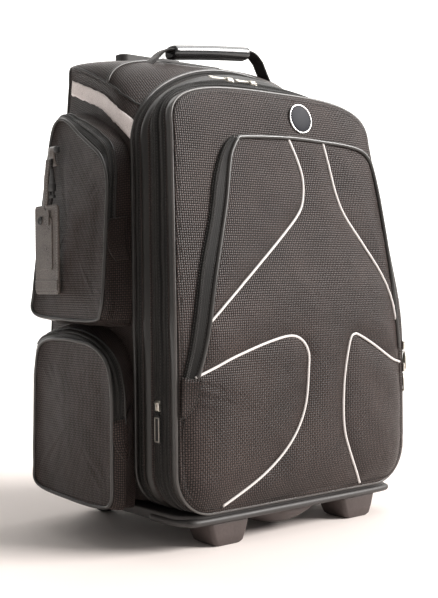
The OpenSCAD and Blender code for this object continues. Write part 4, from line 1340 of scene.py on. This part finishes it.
a = np.linspace(0, 2 * math.pi, 32, endpoint=False)
ec = tag_o + np.array([-4.4, 12, -18])
tube('luggage_tag_eyelet', ec + 4.2 * (np.cos(a)[:, None] * Y + np.sin(a)[:, None] * Z), 1.1, M['pull'],
     'luggage_tag', 'pull', closed=True)
vs = [ec + r_ * (math.cos(q) * Y + math.sin(q) * Z) - X * h_ for r_,
      h_ in ((4.0, -.4), (3.0, .3), (1.5, .6), (.05, .7)) for q in a]
make('luggage_tag_rivet', vs, [(i * 32 + j, i * 32 + (j + 1) % 32, (i + 1) * 32 + (j + 1) % 32,
                                (i + 1) * 32 + j) for i in range(3) for j in range(32)],
     M['pull'], 'luggage_tag', 'pull')

# Lanyard: a leather strap folded through the tag, a webbing tail and a moulded snap.
ll, lh = extent('tag_lanyard')
yc = (ll[1] + lh[1]) / 2
strap = spline([(-211.5, 4), (-212.5, -6), (-214.6, -18), (-215.6, -30), (-216.0, -40), (-217.5, -52)], 40)
STRAP_W, STRAP_Y = 9.5, 4.5     # width of the leather strap and its offset in y
rows_ = []
for w_ in np.linspace(-STRAP_W / 2, STRAP_W / 2, 7):
    rows_.append(np.stack([strap[:, 0] - .5 * math.cos(w_ / STRAP_W * math.pi),
                           np.full(40, yc + STRAP_Y + w_) + .04 * (strap[:, 1]), 438 + strap[:, 1]], 1))
v_, f_ = loft(rows_, wrap=False)
sb = make('tag_strap_leather', v_, f_, M['leather'], 'tag_lanyard', 'leather', arc_uv(rows_))
thicken(sb, 1.8, 0)
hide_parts('tag_lanyard')
stitches('tag_strap_stitches', rows_[1] + np.array([-1.0, 0, 0]), -X * np.ones_like(rows_[1]),
         'tag_lanyard', M['pale_thread'], 3.0, 1.8, .34)
stitches('tag_strap_stitches_2', rows_[5] + np.array([-1.0, 0, 0]), -X * np.ones_like(rows_[5]),
         'tag_lanyard', M['pale_thread'], 3.0, 1.8, .34)
parts = [box_mesh((-216.4, yc - 12, 403), (-210.6, yc - 1.5, 413), 1.6),
         box_mesh((-215.8, yc - 11, 412), (-211.4, yc - 2.5, 422), 1.8),
         box_mesh((-215.2, yc - 9.5, 421), (-212.0, yc - 4, 430), 1.4),
         box_mesh((-216.0, yc - 12.5, 395), (-211.6, yc - 1, 399.5), 1.4),
         box_mesh((-215.4, yc - 10.8, 398), (-212.2, yc - 8.6, 405), .8),
         box_mesh((-215.4, yc - 4.6, 398), (-212.2, yc - 2.4, 405), .8)]
v_, f_ = merge(parts)
make('tag_snap', v_, f_, M['pull'], 'tag_lanyard', 'clip', v_[:, [1, 2]])
cordp = spline([(-213.6, yc - 6.8, 429), (-213.2, yc - 5.5, 436), (-211.0, yc - 2, 441),
                (-209.5, yc + 1, 440)], 24)
tube('tag_cord', cordp, 1.7, M['webbing'], 'tag_lanyard', 'clip')
cordp = spline([(-214.0, yc - 7.5, 396), (-215.5, yc - 6.5, 388), (-216.6, yc - 3, 381.5),
                (-217.5, yc + 2, 382), (-216.4, yc + 4, 390)], 24)
tube('tag_cord_loop', cordp, 1.4, M['webbing'], 'tag_lanyard', 'clip')
# Loop sewn to the pocket that holds the lanyard.
lo, hi = extent('tag_strap')
ym = (lo[1] + hi[1]) / 2
prof = spline([(-203.5, 456), (-206.5, 458), (-209.5, 455), (-210.3, 447), (-209.0, 439), (-206.5, 434),
               (-203.8, 435)], 36)
rows_ = [np.stack([prof[:, 0], np.full(36, ym + w_), prof[:, 1]], 1) for w_ in np.linspace(-6.5, 6.5, 6)]
v_, f_ = loft(rows_, wrap=False)
sb = make('tag_loop', v_, f_, M['leather'], 'bag_body', 'leather', arc_uv(rows_))
thicken(sb, 1.6)
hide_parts('tag_strap')
v_, f_ = merge([box_mesh((-211.4, ym - 13.5, 449), (-205.6, ym - 6.8, 457), 1.4)])
make('tag_buckle', v_, f_, M['pull'], 'bag_body', 'pull', v_[:, [1, 2]])

# ---- Carry handle --------------------------------------------------------------------------------

gl, gh = extent('carry_grip')
gc = (gl + gh) / 2
rows_ = []
LG = (gh[0] - gl[0]) / 2
for s in np.concatenate([[-1.0, -.997, -.99, -.975], np.linspace(-.95, .95, 30), [.975, .99, .997, 1.0]]):
    e = max(0.02, 1 - max(0, (abs(s) - .955) / .045) ** 2.2)
    q = math.sqrt(e)
    th_ = np.linspace(0, 2 * math.pi, 40, endpoint=False)
    cy, cz = np.cos(th_), np.sin(th_)
    ry, rz = 12.6 * (.72 + .28 * q), 8.8 * (.45 + .55 * q)
    sy = np.sign(cy) * np.abs(cy) ** .8 * ry
    sz = np.sign(cz) * np.abs(cz) ** .85 * rz
    sag = -.9 * s * s
    rows_.append(np.stack([np.full(40, gc[0] + s * LG + 4.0), gc[1] + sy, gc[2] + 2.0 + sz + sag + s * 6.6],
                          1))
v_, f_ = loft(rows_)
f_ += [tuple(range(40))[::-1], tuple(range(len(v_) - 40, len(v_)))]
gr_ = make('carry_grip_shape', v_, f_, M['grip'], 'carry_handle', 'grip', arc_uv(rows_))
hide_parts('carry_grip')
seam_ = np.array([r[30] for r in rows_[4:-4]])
tube('carry_grip_seam', seam_ + np.array([0, 0, -.2]), .5, M['rubber'], 'carry_handle', 'grip')
for s in (-1, 1):
    key_ = [(104, 553.5, 38), (99, 560, 40), (92, 568, 41), (84, 577, 42), (76, 584, 42), (68, 587.5, 42),
            (58, 588.2, 42)]
    pth = spline([(s * a_, c_ + 0, b_ + 1.6) for a_, b_, c_ in key_], 50)
    rows_ = []
    tangent = np.gradient(pth, axis=0)
    tangent /= np.linalg.norm(tangent, axis=1, keepdims=True)
    low = np.clip((pth[:, 2] - 556) / 22, 0, 1)
    pth[:, 2] += (1.6 + s * 6.4) * low ** 1.5
    pth[:, 0] += 4.0 * low
    for w_ in np.linspace(-1, 1, 9):
        k_ = pth.copy()
        hwid = 9.5 + 2.0 * (1 - low)
        k_[:, 1] += w_ * hwid
        k_[:, 2] += w_ * hwid * .42 * (1 - low)
        up_ = np.cross(tangent, Y) * s
        k_ += np.where(up_[:, 2:3] < 0, -up_, up_) * .5 * math.cos(w_ * 1.5)
        rows_.append(k_)
    v_, f_ = loft(rows_, wrap=False)
    sb = make('carry_strap_' + ('left' if s < 0 else 'right'), v_, f_, M['webbing'], None, 'webbing',
              arc_uv(rows_))
    thicken(sb, 2.2, 0)
    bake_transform(sb)
    if s < 0:
        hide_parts('carry_strap', 'handle_anchors')
    for k_ in (1, 7):
        stitches('carry_strap_stitches_%d_%d' % (s, k_), rows_[k_][14:] + np.array([0, 0, 1.0]),
                 Z * np.ones_like(rows_[k_][14:]), 'carry_handle', step=3.4)

# ---- Base ----------------------------------------------------------------------------------------

def prism(loop, z0, z1, r0, r1):
    """Closed solid over a convex loop with rounded lower and upper edges."""
    lp = np.asarray(loop, float)
    t_ = np.roll(lp, -1, 0) - np.roll(lp, 1, 0)
    n_ = np.stack([t_[:, 1], -t_[:, 0]], 1)
    n_ /= np.maximum(np.linalg.norm(n_, axis=1, keepdims=True), 1e-9)
    lower_ = [(z0 + r0 * (1 - math.sin(a_)), r0 * (1 - math.cos(a_))) for a_ in np.radians([90, 60, 30, 0])]
    upper_ = [(z1 - r1 * (1 - math.sin(a_)), r1 * (1 - math.cos(a_))) for a_ in np.radians([0, 30, 60, 90])]
    out_ = []
    for zz, ins_ in lower_ + upper_:
        q_ = lp - n_ * ins_
        out_.append(np.column_stack([q_, np.full(len(q_), zz)]))
    v_, f_ = loft(out_)
    f_ += [tuple(range(len(lp)))[::-1], tuple(range(len(v_) - len(lp), len(v_)))]
    return v_, f_


tl, th = extent('base_tray')
lp = rr(th[0] - tl[0] - 1, th[1] - tl[1], 30, 0, (tl[1] + th[1]) / 2, 12)
v_, f_ = prism(resample(np.array(lp), 200, True), tl[2], th[2] + 1.2, 1.6, 2.2)
tray = make('base_tray_shape', v_, f_, M['plastic'], 'bag_body', 'plastic', v_[:, :2])
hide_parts('base_tray')
lpath = spline([(-166, -60, tl[2] + 3), (-166, -92, tl[2] + 3), (-158, -114, tl[2] + 3),
                (-138, -122.5, tl[2] + 3), (0, -123.2, tl[2] + 3), (138, -122.5, tl[2] + 3),
                (158, -114, tl[2] + 3), (166, -92, tl[2] + 3), (166, -60, tl[2] + 3)], 150)
tube('base_lip', lpath, 4.4, M['plastic'], 'bag_body', 'plastic', flat=.95, sides=14)
for side, tag in ((-1, 'left'), (1, 'right')):
    fl, fh = extent('front_foot_' + tag)
    cx = (fl[0] + fh[0]) / 2
    rows_ = []
    for zz, w2, y0, y1 in ((0, 17, -120.5, -84), (.6, 18.2, -121.3, -83), (3, 21.5, -122.6, -80),
                           (12, 24.8, -123.4, -78), (24, 28.2, -123.8, -76.4), (fh[2], 29, -124, -76)):
        lp = np.array(rr(2 * w2, y1 - y0, 5.5, cx, (y0 + y1) / 2, 6))
        rows_.append(np.column_stack([lp, np.full(len(lp), float(zz))]))
    v_, f_ = loft(rows_)
    n_ = len(rows_[0])
    f_ += [tuple(range(n_))[::-1], tuple(range(len(v_) - n_, len(v_)))]
    ft = make('front_foot_%s_shape' % tag, v_, f_, M['base'], 'bag_body', 'plastic', v_[:, [0, 2]])
    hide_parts('front_foot_' + tag)
rows_ = []
cyb = -72.0
for zz in np.linspace(3.02, 27, 14):
    r_ = math.sqrt(max(80 ** 2 - (83 - zz) ** 2, 4))
    a_ = np.linspace(0, 2 * math.pi, 72, endpoint=False)
    lp = np.stack([r_ * np.cos(a_), np.maximum(cyb + r_ * np.sin(a_), -120.8)], 1)
    rows_.append(np.column_stack([lp, np.full(72, zz)]))
v_, f_ = loft(rows_)
f_ += [tuple(range(72))[::-1]]
db = make('centre_bumper_shape', v_, f_, M['base'], 'bag_body', 'plastic', v_[:, :2])
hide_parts('centre_bumper')


def repaint(mat, *names):
    for nm in names:
        me = N[nm].data
        me.materials.clear()
        me.materials.append(M[mat])


lo, hi = extent('button_spring')
turns = np.linspace(0, 2 * math.pi * 6, 180)
rs = (hi[0] - lo[0]) / 2 - .5
path = np.stack([(lo[0] + hi[0]) / 2 + rs * np.cos(turns), (lo[1] + hi[1]) / 2 + rs * np.sin(turns),
                 np.linspace(lo[2] + .5, hi[2] - .5, 180)], 1)
spring = tube('button_spring_coil', path, .45, M['steel'], 'trolley_handle', 'steel', sides=8)
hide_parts('button_spring')
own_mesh(spring)
repaint('base', 'wheel_housing_left', 'wheel_housing_right')
repaint('steel', 'axle_left', 'axle_right', 'bearings_left', 'bearings_right', 'tray_screws',
        'release_rods')
repaint('rubber', 'wheel_tyre_left', 'wheel_tyre_right')
repaint('hub', 'wheel_hub_left', 'wheel_hub_right')
repaint('alloy', 'outer_tube_left', 'outer_tube_right', 'middle_tube_left', 'middle_tube_right',
        'inner_tube_left', 'inner_tube_right')
repaint('plastic', 'tube_bracket', 'trolley_bezel', 'trolley_grip')
repaint('button', 'release_button')
repaint('lining', 'frame_board', 'lid_divider')
repaint('foam', 'lower_ball_cup', 'upper_ball_shelf')

# ---- Fabric hinges inside the right edge ---------------------------------------------------------

for nm, a_, b_, y0, y1, p0, p1 in (('section_hinge_strip', 'bag_body', 'front_section', -58, -42,
                                    (.1765, -.045, .2), (.1765, -.055, .2)),
                                   ('panel_hinge_strip', 'front_section', 'front_door', -122.5, -109,
                                    (.1765, -.112, .2), (.1765, -.120, .2))):
    z_ = np.linspace(64, 204, 30)
    rows_ = [np.stack([np.full(30, 174.6), np.full(30, y_), z_], 1) for y_ in np.linspace(y0, y1, 17)]
    v_, f_ = loft(rows_, wrap=False)
    sb = make(nm, v_, f_, M['webbing'], None, 'nylon', arc_uv(rows_))
    thicken(sb, 1.2)
    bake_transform(sb)

# ---- Floor, light and camera ---------------------------------------------------------------------

def plain(name, near, far, rough):
    """Matt floor, slightly mottled, with painted shade darker near the middle where the bag stands, and
    paler away from it.
    """
    g = Graph(name, rough, spec=.1)
    co = g.put('ShaderNodeTexCoord').outputs['Object']
    ln = g.put('ShaderNodeVectorMath', _operation='LENGTH')
    g.t.links.new(co, ln.inputs[0])
    mottle = g.noise(6.0, 3.0)
    t = g.math('ADD', g.math('MULTIPLY', ln.outputs['Value'], .28),
               g.math('MULTIPLY_ADD', mottle, .06, -.03))
    # Ramp from the near colour, painted shade on the floor round the bag, to the pale far colour.
    return g.done(g.ramp(t, [(.15, near), (.8, far)]), rough)


bpy.ops.mesh.primitive_plane_add(size=60, location=(0, 0, 0))
floor = bpy.context.object
floor.name = 'floor'
# The first colour is painted shade on the floor near the bag; the second is the pale floor far off.
floor.data.materials.append(plain('floor', (.84, .775, .74), (1.0, .99, .98), .8))

world = bpy.data.worlds.new('studio')
bpy.context.scene.world = world
world.use_nodes = True
world.node_tree.nodes['Background'].inputs[0].default_value = (1.0, .985, .97, 1)
world.node_tree.nodes['Background'].inputs[1].default_value = .26


def lamp(name, kind, loc, target, energy, size=1.0, color=(1, 1, 1)):
    d = bpy.data.lights.new(name, kind)
    d.energy = energy
    d.color = color
    if kind == 'AREA':
        d.shape = 'DISK'
        d.size = size
    else:
        d.angle = size
    o = bpy.data.objects.new(name, d)
    bpy.context.scene.collection.objects.link(o)
    o.location = loc
    o.rotation_euler = (Vector(target) - Vector(loc)).to_track_quat('-Z', 'Y').to_euler()
    return o


yaw, pitch, roll = math.radians(39.212), math.radians(1.150), math.radians(-.556)
key = lamp('key', 'SUN', (2.7, -2.6, 2.6), (0, 0, .3), 5.2, math.radians(32), (1.0, .97, .95))
top = lamp('top', 'AREA', (.5, -.2, 1.9), (0, 0, .45), 12, 1.2)
arc = np.radians(np.linspace(-50, 50, 25)) + yaw
vs = [(13 * math.sin(t), 13 * math.cos(t), z) for z in (-.5, 26) for t in arc]
me = bpy.data.meshes.new('backdrop')
me.from_pydata(vs, [], [(i, i + 1, i + 26, i + 25) for i in range(24)])
backdrop = bpy.data.objects.new('backdrop', me)
bpy.context.scene.collection.objects.link(backdrop)
g = Graph('backdrop', .9)
g.b.inputs['Base Color'].default_value = (.8, .8, .79, 1)
g.b.inputs['Emission Color'].default_value = (1.0, .99, .97, 1)
g.b.inputs['Emission Strength'].default_value = 1.0
me.materials.append(g.m)

fwd = Vector((math.sin(yaw) * math.cos(pitch), math.cos(yaw) * math.cos(pitch), -math.sin(pitch)))
right = Vector((math.cos(yaw), -math.sin(yaw), 0))
up = right.cross(fwd)
rx = right * math.cos(roll) + up * math.sin(roll)
ry = -right * math.sin(roll) + up * math.cos(roll)
cam = bpy.data.objects.new('camera', bpy.data.cameras.new('camera'))
bpy.context.scene.collection.objects.link(cam)
cam.matrix_world = Matrix(((rx.x, ry.x, -fwd.x, -.85802), (rx.y, ry.y, -fwd.y, -1.03116),
                           (rx.z, ry.z, -fwd.z, .29894), (0, 0, 0, 1)))
cam.data.lens = 63.8
cam.data.sensor_width = 36
cam.data.clip_start = .05
bpy.context.scene.camera = cam
bpy.context.scene.view_settings.view_transform = 'Standard'
